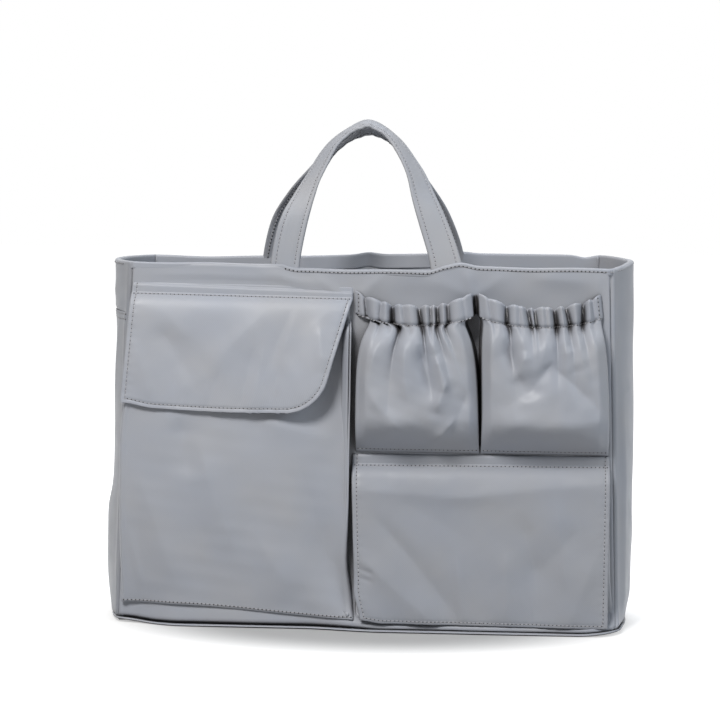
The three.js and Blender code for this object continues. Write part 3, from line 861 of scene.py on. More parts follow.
def rim_runs():
    """Stitches round the outside of the rim, where it stands as a roll."""
    ring, away = (np.concatenate([r, r[:1]]) for r in rim_frame(RIM_ROW_STEPS))
    points = np.column_stack([ring + RIM_STITCH_OUT * away, RIM_CREST - RIM_STITCH_DROP + rim_lift(*ring.T)])
    steps = np.arange(len(ring), dtype=float)

    def surface(a, b):
        return sample(a, steps, points) + at(0, 0, b)

    rolled_steps = steps[rim_bead(*ring.T) > 0.5]
    parts = np.split(rolled_steps, np.flatnonzero(np.diff(rolled_steps) > 1) + 1)
    return [run_of_stitches(surface, np.column_stack([part, 0 * part]), dense=0.5) for part in parts]


# Lining, padding and board
LINING_ROOM = 1.2
LINING_TUCK = 0.5
LINING_LAP = 1.3
LINING_FOOT = 5.0
LINING_SIDE_GAP = 0.9
LINING_INSET = 1.7
FLOOR_SIDE_GAP = 2.2
FLOOR_END_GAP = 0.3
FLOOR_SLACK = 0.9
PADDING_SIDE_GAP = 1.6
PADDING_FOOT = 4
PADDING_GAP = 0.1


def lining_sag(a, z, waves, seed, least):
    """How far the lining hangs in from its wall, with long and short waves."""
    sag = 0.9 + 0.8 * rolling(a, z, waves[0], seed) + 0.5 * rolling(a, z, waves[1], seed + 1)
    return np.maximum(sag * rise(z, WALL_TOP, WALL_TOP - 30), least) * LINING_ROOM


def lining_wall(name, facing, seed):
    """Inside of the front or back wall."""
    u = spaced(-1, 1, COARSE / (half_width(0) - 3.0))
    u, z = grid(u, spaced(LINING_FOOT, WALL_TOP, COARSE))
    x = u * (half_width(z) - LINING_SIDE_GAP)
    tuck = LINING_TUCK * rise(z, 208, 216)
    y = facing * (LINING_FACE - lining_sag(x, z, (60, 22), seed, -0.2) + tuck)
    y = y - back_lean(x, z) * (facing > 0)
    outer = at(x, y, lifted(x, facing * -FRONT, z))
    return cloth(name, outer, LINING_CLOTH, LINING, flip=facing < 0)


def lining_side(name, side, seed):
    """Inside of a bowed side wall."""
    end = LINING_FACE + LINING_LAP
    y, z = grid(spaced(-end, end, COARSE), spaced(LINING_FOOT, WALL_TOP, COARSE))
    sink = SIDE_SINK * rise(z, WALL_TOP, WALL_TOP - 25) * (side < 0)
    x = side * (gusset_face(y, z) - LINING_INSET - sink - lining_sag(y, z, (50, 20), seed, -0.1))
    return cloth(name, at(x, y, lifted(x, y, z)), LINING_CLOTH, LINING, flip=side > 0)


def lining_floor():
    """Lining over the base board, a little slack."""
    low, high = solid_box("lining_bottom")
    y = spaced(low[1] + FLOOR_END_GAP, high[1] - FLOOR_END_GAP, COARSE)
    u, y = grid(spaced(-1, 1, COARSE / high[0]), y)
    x = u * (gusset_face(y, 3) - FLOOR_SIDE_GAP)
    z = high[2] + FLOOR_SLACK + 0.5 * rolling(x, y, 60, 41) + 0.25 * rolling(x, y, 20, 42)
    return cloth("lining_floor_cloth", at(x, y, z), LINING_CLOTH, LINING)


def padding(name, node, facing):
    """Felt between panel and lining."""
    low, high = solid_box(node)
    u, z = grid(spaced(-1, 1, 2 * COARSE / high[0]), spaced(low[2] + PADDING_FOOT, high[2], 2 * COARSE))
    x = u * (half_width(z) - PADDING_SIDE_GAP)
    y = (high[1] if facing > 0 else low[1]) - facing * PADDING_GAP + 0.05 * rolling(x, z, 15, 51)
    outer = at(x, y, lifted(x, facing * -FRONT, z))
    return cloth(name, outer, high[1] - low[1] - 0.3, FELT, flip=facing > 0)


# Straps: rows of (outer edge, inner edge) from the left leg to the right
STRAP_FOOT = 203
STRAP_WIDTH = 16
STRAP_LENGTH = 260
STRAP_TURNS = 162
STRAP_GRID = (230, 17)
STRAP_ROW = (0.1, 0.9)
STRAP_BEND = (224, 243)
STRAP_HINGE = 48.3
FRONT_STRAP = [
    ((-61, -48.2, 226), (-44.3, -48.2, 226)),
    ((-55, -43.5, 255), (-39.3, -43, 255)),
    ((-42.8, -20.5, 279), (-32.5, -31, 281)),
    ((-28.4, -7, 301.4), (-20.6, -20.5, 302.8)),
    ((-5.3, -1.1, 315.2), (-4.6, -16.5, 311.8)),
    ((13.9, -6, 305.8), (9.2, -19.8, 304.2)),
    ((30.2, -17, 285.2), (20.2, -29, 286.4)),
    ((44.8, -35.5, 257), (28.2, -41, 258)),
    ((55.8, -48.2, 226), (37.5, -48.2, 226)),
]
BACK_STRAP = [
    ((-73.6, 48.2, 226), (-57.6, 48.2, 226)),
    ((-66, 36.5, 254.6), (-50.8, 40.8, 254)),
    ((-50.5, 20.5, 275.8), (-39.5, 31, 274.4)),
    ((-29.5, 7.5, 297.6), (-25.5, 21.5, 296.5)),
    ((-5, 1.1, 314), (-5, 15, 307)),
    ((15.5, 7.5, 301.5), (13.5, 21, 298.8)),
    ((32, 20, 280), (23, 31, 277.5)),
    ((47.5, 35.5, 256), (33, 41, 255)),
    ((57, 48.2, 226), (41, 48.2, 226)),
]


def strap_edge(rows, side):
    """One edge of a strap from foot to foot, with both sewn ends."""
    edge = np.array([row[side] for row in rows], float)
    first, last = ([x, y, STRAP_FOOT] for x, y, _ in (edge[0], edge[-1]))
    return np.concatenate([[first], edge, [last]])


def strap_surface(rows, facing, seed):
    """Surface of a strap over (place along it, share across it), its ends sewn inside the wall."""
    outer, inner = (strap_edge(rows, side) for side in (0, 1))
    last = len(inner) - 1

    def plain(s, w):
        return mix(open_spline(inner, s * last), open_spline(outer, s * last), w[..., None])

    def surface(s, w):
        step = 0.002
        along = plain(np.clip(s + step, 0, 1), w) - plain(np.clip(s - step, 0, 1), w)
        across = open_spline(outer, s * last) - open_spline(inner, s * last)
        normal = unit(np.cross(along, across)) * -facing
        near_top = hump(s * last, last / 2, 1.2)
        crowding = 0.4 * near_top * (1 - w) * np.sin(s * STRAP_TURNS + 5 * w) * np.sin(s * 61 + 1)
        crown = 0.25 * np.sin(np.pi * np.clip(w, 0, 1)) + 0.9 * near_top * hump(w, 0.45, 0.2)
        groove = 0.35 * hump(np.minimum(w, 1 - w) * STRAP_WIDTH, STITCH_INSET, 0.9)
        waves = 0.3 * rolling(s * STRAP_LENGTH, w * STRAP_WIDTH, 24, seed)
        return plain(s, w) + normal * (crowding + crown - groove + waves)[..., None]

    return surface


def run_of_strap(surface, path, flip, depth):
    """Stitches along a strap: on its face, or on its back where depth is the strap's thickness."""
    points, normals = surface_frame(surface, densify(path, 0.0015), 0.002)
    normals = -normals if flip else normals
    if depth:
        points, normals = points - normals * depth, -normals
    steps = np.arange(len(points), dtype=float)

    def line(a, b):
        ahead = sample(a + 1, steps, points) - sample(a - 1, steps, points)
        side = unit(np.cross(sample(a, steps, normals), ahead))
        return sample(a, steps, points) + side * b[..., None]

    return run_of_stitches(line, np.column_stack([steps, 0 * steps]), dense=0.5)


def strap(name, rows, facing, seed):
    """A strap, and the runs of stitches inside both its edges, on its face and on its back."""
    surface = strap_surface(rows, facing, seed)
    outer = surface(*grid(*(np.linspace(0, 1, count) for count in STRAP_GRID)))
    obj = cloth(name, outer, STRAP_CLOTH, STRAP, flip=facing > 0)
    inset = STITCH_INSET / STRAP_WIDTH
    runs = []
    for share in (inset, 1 - inset):
        path = np.linspace(*((end, share) for end in STRAP_ROW), 60)
        runs += [run_of_strap(surface, path, facing > 0, depth) for depth in (0, STRAP_CLOTH)]
    return obj, runs


# Flap pockets
LEFT_POCKET_END = LEFT_POCKET_HIGH[0]
LEFT_POCKET_SIZE = (140, 190)
LOWER_POCKET_START = LOWER_POCKET_LOW[0]
LOWER_POCKET_FOOT = LOWER_POCKET_LOW[2] - 1.5
LOWER_POCKET_SIZE = (155, 88)
POCKET_ROLL = 2.0
FOOT_ROUND = 90.0
MOUTH_LEAN = 2.0
BELLOWS_FOLD = 4.0
LEFT_POCKET_FOLDS = [
    ((-104, 114), (-80, 44), 12, 2.6), ((-116, 128), (-110, 96), 11, -2.4), ((-64, 128), (-18, 118), 9, 1.8),
    ((-40, 100), (-22, 30), 9, -1.4), ((-140, 90), (-118, 30), 10, 1.4), ((-70, 60), (-46, 24), 10, 1.5),
    ((-148, 60), (-140, 25), 3.5, 0.9),
]


def pocket_depth(z, low, high):
    """Distance of a leaning pocket front's outer face from the panel."""
    mouth = FRONT - high[1] + SHELL_CLOTH - MOUTH_LEAN
    return mix(FRONT - low[1], mouth, (z - low[2]) / (high[2] - low[2]))


def left_pocket_foot(x):
    return LEFT_POCKET_LOW[2] + mix(-1.4, 5.0, rise(x, LEFT_POCKET_END, LEFT_POCKET_END - 110))


def left_pocket_edge(z):
    return 5.4 * rise(z, 112, 172) + rise(z, 60, 10) - 153.4


def left_pocket_face(u, v):
    """Left pocket front over its width and height."""
    foot = left_pocket_foot(mix(left_pocket_edge(0), LEFT_POCKET_END, u))
    z = mix(foot, LEFT_POCKET_HIGH[2], v)
    right = LEFT_POCKET_END + 4.3 * rise(z, 45, 7)
    x = mix(left_pocket_edge(z), right, u)
    from_side = np.minimum(x - left_pocket_edge(z), right - x)
    from_foot = z - foot
    under_flap = LEFT_FLAP_LOW[2] + 15.5
    puff = 3.0 * rise(from_side, 0, 34) * rise(from_foot, 0, 40) * rise(z, under_flap, under_flap - 50)
    relief = folds(x, z, LEFT_POCKET_FOLDS) + 0.4 * rolling(x, z, 38, 61) + 0.13 * rolling(x, z, 14, 62)
    relief = relief * rise(from_side, 0, 14) * rise(z, 185, 145)
    fin = mix(4.0, 9.0, rise(z, 110, 170)) * rise(z, 30, 90) * rise(z, 196, 184)
    lip = 0.7 * hump(from_side, 1.6, 1.2) + fin * hump(right - x, 0, 1.0)
    drop = (rolled(from_side, POCKET_ROLL) + rolled(from_foot, POCKET_ROLL)) * rise(from_foot, 0, 8)
    stand_off = 1.2 * rise(x, -120, -150) * rise(from_foot, 30, 0)
    stand_off = stand_off - 5.0 * rise(x, -56, -22) * rise(z, 105, 155)
    tuck = mix(0.12, 1.0, np.sin(np.pi / 2 * np.clip(from_foot / FOOT_ROUND, 0, 1)))
    depth = pocket_depth(z, LEFT_POCKET_LOW, LEFT_POCKET_HIGH) * tuck + foot_bow(x, z)
    return at(x, FRONT - depth - puff - relief - lip + drop - stand_off, z)


def lower_pocket_edge(z):
    return half_width(z) - 3.0 + 2.0 * rise(z, 40, 5)


def lower_pocket_face(u, v):
    """Lower pocket front over its width and height."""
    z = mix(LOWER_POCKET_FOOT, LOWER_POCKET_HIGH[2], v)
    edge = lower_pocket_edge(z)
    x = mix(LOWER_POCKET_START, edge, u)
    from_side = np.minimum(x - LOWER_POCKET_START, edge - x)
    from_foot = z - LOWER_POCKET_FOOT
    drop = rolled(from_side, POCKET_ROLL) + rolled(from_foot, POCKET_ROLL)
    relief = 0.35 * rolling(x, z, 40, 65) * rise(from_side, 0, 14)
    depth = pocket_depth(z, LOWER_POCKET_LOW, LOWER_POCKET_HIGH)
    depth = mix(foot_bow(x, z) + 0.9, depth, rise(from_foot, 0, 45))
    return at(x, FRONT - depth - relief + drop, z)


def pocket_front(name, face, width, height):
    outer = face(*grid(spaced(0, 1, FINE / width), spaced(0, 1, FINE / height)))
    return cloth(name, outer, SHELL_CLOTH, SHELL)


def bellows(name, face, count=65):
    """Pleated strip between the panel and a pocket front's sides and foot."""
    left = np.linspace((0, 1), (0, 0.02), count)
    foot = np.linspace((0.01, 0), (0.99, 0), 2 * count)
    right = np.linspace((1, 0.02), (1, 1), count)
    edge = face(*np.concatenate([left, foot, right]).T)
    xz = edge[:, [0, 2]]
    for _ in range(6):
        xz[1:-1] = (xz[:-2] + 2 * xz[1:-1] + xz[2:]) / 4
    ahead = unit(np.gradient(xz, axis=0))
    inward = np.stack([-ahead[:, 1], ahead[:, 0]], axis=1)
    rows = []
    for share in np.linspace(0, 1, 13):
        pleat = mix(0.6, 1.2, share) + BELLOWS_FOLD * (1 - abs(2 * share - 1)) ** 0.8
        x, z = (xz + inward * pleat).T
        depth = mix(0.6 + foot_bow(x, z), FRONT - edge[:, 1] - 0.2, share)
        rows.append(at(x, FRONT - depth, z))
    return cloth(name, np.stack(rows, axis=1), POUCH_CLOTH, CREASE_SHADED, flip=True)


# Flaps
BAND_HEIGHT = 5.8
BAND_STAND = 1.7
BAND_ROUND = 2.4
BAND_BEND = 5.0
BAND_STEP = 0.45
BAND_ROW_DROP = 1.0
BAND_GROOVE = 0.4
EDGE_ROW_TOP = 5
FLAP_HINGE_OUT = 2
FLAP_BEND = (1, -9)
LEFT_RIDGE = (5.6, 3.4)
LEFT_ROW_RISE = (0.3, -1.4)
LEFT_TURN = 5.5
LEFT_FLAP_CORNER = 26.0
LEFT_FLAP_TOP_LEFT = -146.6
LEFT_FLAP_FOOT_LEFT = -152.3
LEFT_FLAP_TOP_RIGHT = LEFT_FLAP_HIGH[0] + 0.6
LEFT_FLAP_FOOT_RIGHT = -30.5
LEFT_FLAP_SAG = 2.4
LEFT_MOUTH = FRONT - LEFT_POCKET_HIGH[1] + SHELL_CLOTH + FLAP_CLOTH + 0.3
LEFT_HINGE, LEFT_FOOT = LEFT_FLAP_HIGH[2], LEFT_FLAP_LOW[2]
LEFT_FLAP_TOP = np.array([LEFT_FLAP_TOP_RIGHT, LEFT_HINGE])
LEFT_ARC, LEFT_ARC_MIDDLE = corner_arc(
    LEFT_FLAP_TOP, (LEFT_FLAP_FOOT_RIGHT, LEFT_FOOT), (LEFT_FLAP_FOOT_LEFT, LEFT_FOOT), LEFT_FLAP_CORNER,
)
LEFT_FLAP_FOLDS = [
    ((-56, 206), (-100, 160), 10, 2.2), ((-42, 204), (-54, 170), 3.6, 0.9),
    ((-48, 200), (-60, 166), 3.4, -0.8), ((-71, 174), (-80, 134), 3.8, -0.8),
    ((-64, 176), (-72, 134), 4.0, 0.7), ((-54, 166), (-61, 134), 3.4, -0.7),
    ((-92, 160), (-99, 134), 3.4, -0.6), ((-132, 202), (-110, 180), 7, 1.6),
    ((-130, 186), (-110, 158), 10, -2.0), ((-30, 190), (-28, 164), 5, 1.6),
    ((-20, 203), (-36, 188), 4, 1.0), ((-146, 178), (-130, 140), 8, 1.4), ((-116, 206), (-112, 190), 3, 0.8),
]
LOWER_HINGE, LOWER_FOOT = LOWER_FLAP_HIGH[2], LOWER_FLAP_LOW[2]
LOWER_LEFT = LOWER_FLAP_LOW[0] - 2.4
LOWER_RIGHT = 148.8
LOWER_FOOT_INSET = 1.1
LOWER_MOUTH = FRONT - LOWER_POCKET_HIGH[1] + SHELL_CLOTH + FLAP_CLOTH + 1.8
LOWER_REACH = FRONT - LOWER_FLAP_LOW[1] - 4.2
LOWER_TURN = 5.2
LOWER_FLAP_FOLDS = [
    ((-14, 88.5), (76, 84), 6.0, 1.2), ((50, 84), (152, 94), 6.0, 1.2), ((6, 70), (60, 6), 7.5, -2.3),
    ((-6, 46), (44, 4), 10, 2.8), ((96, 72), (106, 30), 9, -1.6), ((130, 66), (104, 34), 9, -1.5),
    ((103, 50), (104, 4), 8, -1.2), ((86, 50), (88, 4), 7, 1.5), ((116, 84), (124, 26), 8, 1.7),
    ((56, 48), (60, 4), 4, 1.2), ((20, 82), (76, 52), 15, -1.6), ((142, 50), (124, 4), 8, 1.6),
    ((-7, 38), (3, 36), 1.6, -0.9), ((-7, 32), (2, 31), 1.6, -0.7),
]


def flap_profile(drop, mouth, reach, turn):
    """Distance of a flap's outer face from the panel, by how far it lies below its stitched line."""
    edge = np.clip(-drop - BAND_HEIGHT + BAND_ROUND, 0, None) / BAND_ROUND
    band = BAND_STAND * np.sqrt(np.clip(1 - edge**2, 0.02, 1))
    flare = mix(BAND_STAND, mouth, 1 - np.exp(-np.clip(drop, 0, None) / turn))
    flare = flare + (reach - mouth) * rise(drop, 4, 79)
    return np.where(drop < 0, mix(BAND_STAND, band, rise(drop, 0, -1.6)), flare)


def left_flap_left(z):
    return mix(LEFT_FLAP_TOP_LEFT, LEFT_FLAP_FOOT_LEFT, (LEFT_HINGE - z) / (LEFT_HINGE - LEFT_FOOT))


# Rows of edge stitching inside each flap's outline, and the row under its band
LEFT_EDGE_PATH = np.concatenate([
    [(left_flap_left(LEFT_HINGE + EDGE_ROW_TOP) + STITCH_INSET, LEFT_HINGE + EDGE_ROW_TOP),
     (LEFT_FLAP_FOOT_LEFT + STITCH_INSET, LEFT_FOOT + STITCH_INSET)],
    mix(LEFT_ARC, LEFT_ARC_MIDDLE, STITCH_INSET / LEFT_FLAP_CORNER)[::-1],
    [LEFT_FLAP_TOP - (STITCH_INSET * 1.04, 2)],
])
LEFT_BAND_PATH = np.array([
    (LEFT_FLAP_TOP_LEFT + 1, LEFT_HINGE - BAND_ROW_DROP),
    (LEFT_FLAP_TOP_RIGHT - 1.5, LEFT_HINGE - BAND_ROW_DROP),
])
LOWER_EDGE_PATH = np.array([
    (LOWER_LEFT + STITCH_INSET, LOWER_HINGE + EDGE_ROW_TOP),
    (LOWER_LEFT + STITCH_INSET, LOWER_FOOT + LOWER_FOOT_INSET),
    (LOWER_RIGHT - STITCH_INSET, LOWER_FOOT + LOWER_FOOT_INSET),
    (LOWER_RIGHT - STITCH_INSET, LOWER_HINGE + EDGE_ROW_TOP),
])
LOWER_BAND_PATH = np.array([
    (LOWER_LEFT + 1, LOWER_HINGE - BAND_ROW_DROP),
    (LOWER_RIGHT - 1, LOWER_HINGE - BAND_ROW_DROP),
])


def left_flap_face(x, z):
    """Left flap with its band: its line of stitches lies at the hinge's height."""
    across = (x - LEFT_FLAP_TOP_LEFT) / (LEFT_FLAP_TOP_RIGHT - LEFT_FLAP_TOP_LEFT)
    drop = LEFT_HINGE - z
    drop = np.where(drop < 0, drop * BAND_HEIGHT / mix(*LEFT_RIDGE, across), drop)
    reach = FRONT - LEFT_FLAP_LOW[1] - 4.5 * rise(x, -40, -135)
    relief = folds(x, z, LEFT_FLAP_FOLDS) + 0.35 * rolling(x, z, 30, 71) + 0.08 * rolling(x, z, 11, 72)
    relief = relief * rise(drop, 3, 29)
    seams = seam(x, z, LEFT_EDGE_PATH) + seam(x, z, LEFT_BAND_PATH, BAND_GROOVE)
    lift = 3.6 * rise(x, -64, -34) * rise(drop, 8, 48)
    depth = flap_profile(drop, LEFT_MOUTH, reach, LEFT_TURN) + relief + seams + lift
    sag = LEFT_FLAP_SAG * np.sin(np.pi * np.clip(across, 0, 1)) * rise(drop, 0, 70)
    sag = sag - 2.4 * rise(x, -132, -152) * rise(drop, 40, 70)
    return at(x, FRONT - depth, z + mix(*LEFT_ROW_RISE, across) * rise(drop, 60, 0) - sag)


def left_flap_grid():
    """Cloth coordinates of the left flap: rows follow its slanting right edge and round corner."""
    bend = mix(LEFT_FLAP_TOP, LEFT_ARC[0], BAND_BEND / (LEFT_HINGE - LEFT_ARC[0][1]))
    band = densify([LEFT_FLAP_TOP + (0, BAND_HEIGHT), LEFT_FLAP_TOP, bend], BAND_STEP)
    right, z = np.concatenate([band[:-1], densify([bend, *LEFT_ARC], FINE)])[::-1].T
    share, z = grid(spaced(0, 1, FINE / LEFT_POCKET_SIZE[0]), z)
    return mix(left_flap_left(z), right, share), z


def lower_flap_face(x, z):
    """Lower flap with its band."""
    drop = LOWER_HINGE - z
    relief = folds(x, z, LOWER_FLAP_FOLDS) + 0.35 * rolling(x, z, 34, 81) + 0.09 * rolling(x, z, 13, 82)
    relief = relief * rise(drop, 0, 14) + 1.6 * rise(z, 34, 4) + 0.6 * hump(z, 50, 28)
    seams = seam(x, z, LOWER_EDGE_PATH) + seam(x, z, LOWER_BAND_PATH, BAND_GROOVE)
    corner = 2.0 * rise(x, 24, -6) * rise(z, 40, 6)
    depth = flap_profile(drop, LOWER_MOUTH, LOWER_REACH, LOWER_TURN) + relief + seams + corner
    low = rise(drop, 0, 98)
    share = np.clip((x - LOWER_LEFT) / (LOWER_RIGHT - LOWER_LEFT), 0, 1)
    draw_in = (2.3 * np.clip((95 - z) / 62, 0, 1) + 4.0 * rise(z, 26, 4)) * rise(x, 60, -8)
    dip = mix(0.3, -0.9, share) + 1.6 * rise(x, 6, -8)
    return at(x + draw_in, FRONT - depth, z + mix(1.2 * share - 0.9, dip, low))


def lower_flap_grid():
    bend = LOWER_HINGE - BAND_BEND
    band = spaced(bend, LOWER_HINGE + BAND_HEIGHT, BAND_STEP)
    z = np.concatenate([spaced(LOWER_FOOT, bend, FINE)[:-1], band])
    return grid(spaced(LOWER_LEFT, LOWER_RIGHT, FINE), z)


# Closing tapes
TAPE_CLOTH = 0.8
TAPE_STAND = 1.0
TAPE_ROLL = 0.8
TAPE_STEP = 1.0
HOOK_STAND = 0.9
HOOK_PITCH = 1.6
HOOK_INSET = 1.5
HOOK_LINE = np.array([(0, 0, 0), (0, 0.55, 0), (0, 0.85, 0.25), (0, 0.8, 0.55), (0, 0.6, 0.62)])
HOOK_GIRTHS = (0.2, 0.17, 0.15, 0.13, 0.08)


def tape(name, node, face_of, facing, material):
    """A sewn strip of tape on a cloth face, given that face's place in y."""
    low, high = solid_box(node)
    x, z = grid(*(spaced(low[k], high[k], TAPE_STEP) for k in (0, 2)))
    edge = np.minimum(np.minimum(x - low[0], high[0] - x), np.minimum(z - low[2], high[2] - z))
    outer = at(x, face_of(x, z) + facing * (TAPE_STAND - rolled(edge, TAPE_ROLL)), z)
    return cloth(name, outer, TAPE_CLOTH, material, flip=facing > 0)


def hook_field(name, node, face_of):
    """The hooks of a hook tape, each a small bent pin."""
    low, high = solid_box(node)
    x, z = grid(*(spaced(low[k] + HOOK_INSET, high[k] - HOOK_INSET, HOOK_PITCH) for k in (0, 2)))
    bases = at(x, face_of(x, z) + HOOK_STAND, z).reshape(-1, 3)
    cosine, sine = turns(5)
    shape, shape_faces = pin_shape(HOOK_LINE, HOOK_GIRTHS, at(cosine, 0, sine))
    points = (bases[:, None] + shape[None]).reshape(-1, 3)
    return make_mesh(name, points, copied(shape_faces, len(bases), len(shape)), points[:, [0, 2]], [HOOKS])


def left_loop_face(x, z):
    """Place in y of the left pocket's front."""
    u = (x - left_pocket_edge(z)) / (LEFT_POCKET_END - left_pocket_edge(z))
    foot = left_pocket_foot(x)
    return left_pocket_face(u, (z - foot) / (LEFT_POCKET_HIGH[2] - foot))[..., 1]


def lower_loop_face(x, z):
    """Place in y of the lower pocket's front."""
    u = (x - LOWER_POCKET_START) / (lower_pocket_edge(z) - LOWER_POCKET_START)
    return lower_pocket_face(u, (z - LOWER_POCKET_FOOT) / (LOWER_POCKET_HIGH[2] - LOWER_POCKET_FOOT))[..., 1]


# Gathered bottle pockets
CASING = 14.0
GATHER = 4.5
VALLEY = 1.4
POUCH_SIDE = 14.0
POUCH_CROWN = 5.5
POUCH_DIP = 8.5
POUCH_FLAT_END = 0.14
POUCH_FULL_V = 0.25
POUCH_LEAST = 0.6
SEWN_STAND = 3.0
POUCH_ROW_ENDS = (0.02, 0.98)
POUCH_FOOT_ROW = 0.022
POUCH_END_ROWS = (0.03, 0.97)
POUCH_END_ROW_TOP = 0.985
CASING_ENDS = (0.07, 0.93)
PLEAT_HINGE_OUT = 0.7
PLEAT_BEND = (0, 7)
SEAM_Z, MOUTH_Z = BOTTLE_LOW[2], BOTTLE_HIGH[2]
POUCH_HEIGHT = MOUTH_Z - SEAM_Z
CASING_V = 1 - CASING / POUCH_HEIGHT


class Pouch:
    """A bottle pocket: an elastic hem sewn down at its ends, and a fuller body that folds out below it.

    Pairs are for left and right: where the foot and the hem end, how far the body's shoulders are tucked in,
    and how far the ends of the hem stand off the panel.
    A valley between two gathers is (share of the width, depth, reach below the casing, drift to the right).
    """

    def __init__(self, foot, hem, tucks, stands, valleys, lines, seed):
        self.foot_ends, self.hem_ends, self.tucks, self.stands = foot, hem, tucks, stands
        self.valleys, self.lines, self.seed = valleys, lines, seed
        self.width = foot[1] - foot[0]

    def below(self, v):
        """Distance below the casing's stitches."""
        return np.clip(CASING_V - v, 0, 1) * POUCH_HEIGHT

    def gathers(self, u, v):
        """Depth of the valleys between the gathers."""
        below = self.below(v)
        lean = 0.02 * np.clip(v - CASING_V, 0, 1) * POUCH_HEIGHT / CASING
        total = np.zeros(np.broadcast(u, v).shape)
        for share, deep, reach, drift in self.valleys:
            middle = share + drift * below / 60 + lean * np.sin(share * 40)
            off = np.abs(u - middle) * self.width / (2.2 + 0.1 * below)
            total = np.maximum(total, deep * np.exp(-((below / reach) ** 1.3)) * np.exp(-(off**1.15)))
        return total

    def full(self, v):
        """How far the body has swelled, from its foot seam upwards."""
        return np.sin(np.pi / 2 * np.clip(v / POUCH_FULL_V, 0, 1))

    def base(self, u, v):
        """Distance of the body from the panel without its gathers."""
        hem = rise(v, CASING_V - 0.08, CASING_V)
        stand = mix(*self.stands, u)
        flat_end = POUCH_FLAT_END * hem * np.clip(1 - stand / SEWN_STAND, 0, 1)
        arch = np.clip(1 - (np.abs(2 * u - 1) / (1 - flat_end)) ** 2.6, 0, 1)
        side = mix(POUCH_SIDE, stand, hump(self.below(v), 0, 8.5))
        return 0.8 + self.full(v) * (side + POUCH_CROWN * arch * (1 - 0.1 * hem))

    def depth(self, u, v):
        """Distance of the front's outer face from the panel."""
        x, z = mix(*self.foot_ends, u), SEAM_Z + v * POUCH_HEIGHT
        edge = np.minimum(u, 1 - u) * self.width
        drawn = rise(edge, 0, 7) * self.full(v / 1.3)
        relief = 1.5 * folds(x, z, self.lines) + 0.6 * rolling(x, z, 26, self.seed)
        relief = relief + 0.16 * rolling(x, z, 10, self.seed + 1)
        relief = relief * rise(edge, 0, 9) * rise(v, 0, 0.15) * rise(v, CASING_V + 0.03, CASING_V - 0.07)
        gathered = GATHER - VALLEY * self.gathers(u, v) - 1.4 * hump(v, CASING_V, 0.012)
        drop = rolled(edge, 1.6) * self.full(v) + rolled((1 - v) * POUCH_HEIGHT, 1.6) * drawn
        return np.maximum(self.base(u, v) + gathered * drawn + relief - drop, POUCH_LEAST)

    def height(self, u, v):
        arch = np.clip(1 - (2 * u - 1) ** 2, 0, 1) ** 0.8
        scallop = (1.3 - 0.5 * self.gathers(u, v)) * rise(v, CASING_V, 1) * rise(arch, 0, 0.3)
        return SEAM_Z + v * POUCH_HEIGHT - POUCH_DIP * arch * v**2 + scallop

    def across(self, u, v):
        """Place along the panel: the body's side folds start inside the ends of the hem."""
        below = self.below(v)
        drawn = 1.9 * (1 - np.exp(-below / 3)) * np.exp(-below / 11)
        left, right = (mix(foot, hem, v**2) for foot, hem in zip(self.foot_ends, self.hem_ends))
        return mix(left + self.tucks[0] * drawn, right - self.tucks[1] * drawn, u)

    def layer(self, u, v, depth, sink=0.0):
        return at(self.across(u, v), FRONT - np.maximum(depth, POUCH_LEAST), self.height(u, v) - sink)

    def face(self, u, v):
        return self.layer(u, v, self.depth(u, v))

    def elastic(self, u, v):
        """Flat elastic inside the casing."""
        return self.layer(u, v, np.minimum(self.base(u, v) - 0.9, self.depth(u, v) - 0.75))

    def hem(self, u, v):
        """Turned-in back of the casing."""
        slack = 2.0 + 0.45 * (GATHER - self.gathers(u, v)) + rolled((1 - v) * POUCH_HEIGHT, 1.2)
        return self.layer(u, v, np.minimum(self.base(u, v) - slack, self.depth(u, v) - 1.5), sink=0.4)


LEFT_POUCH = Pouch(
    foot=(BOTTLE_LOW[0] - 1.0, BOTTLE_HIGH[0] + 1.0), hem=(BOTTLE_LOW[0] - 2.6, 62.8),
    tucks=(9.0, 6.0), stands=(0.0, 12.0),
    valleys=[
        (0.10, 4.5, 8, 0), (0.21, 2.5, 6, 0), (0.32, 7.0, 38, -0.06), (0.43, 2.0, 5, 0),
        (0.56, 6.5, 30, 0.08), (0.64, 4.0, 10, 0.05), (0.70, 6.0, 24, 0.12), (0.79, 5.0, 18, 0.14),
        (0.93, 1.5, 5, 0),
    ],
    lines=[
        ((44, 174), (49, 155), 4.5, 2.4), ((49, 158), (43, 140), 4.5, 2.2),
        ((22, 182), (24, 148), 5.5, 2.0), ((33, 180), (40, 150), 4.0, -2.0),
        ((0, 150), (22, 124), 8.0, 2.2), ((54, 134), (38, 114), 4.0, 1.8),
        ((62, 150), (50, 122), 6.0, -1.6), ((4, 180), (-2, 150), 5.0, 1.4),
    ],
    seed=91,
)
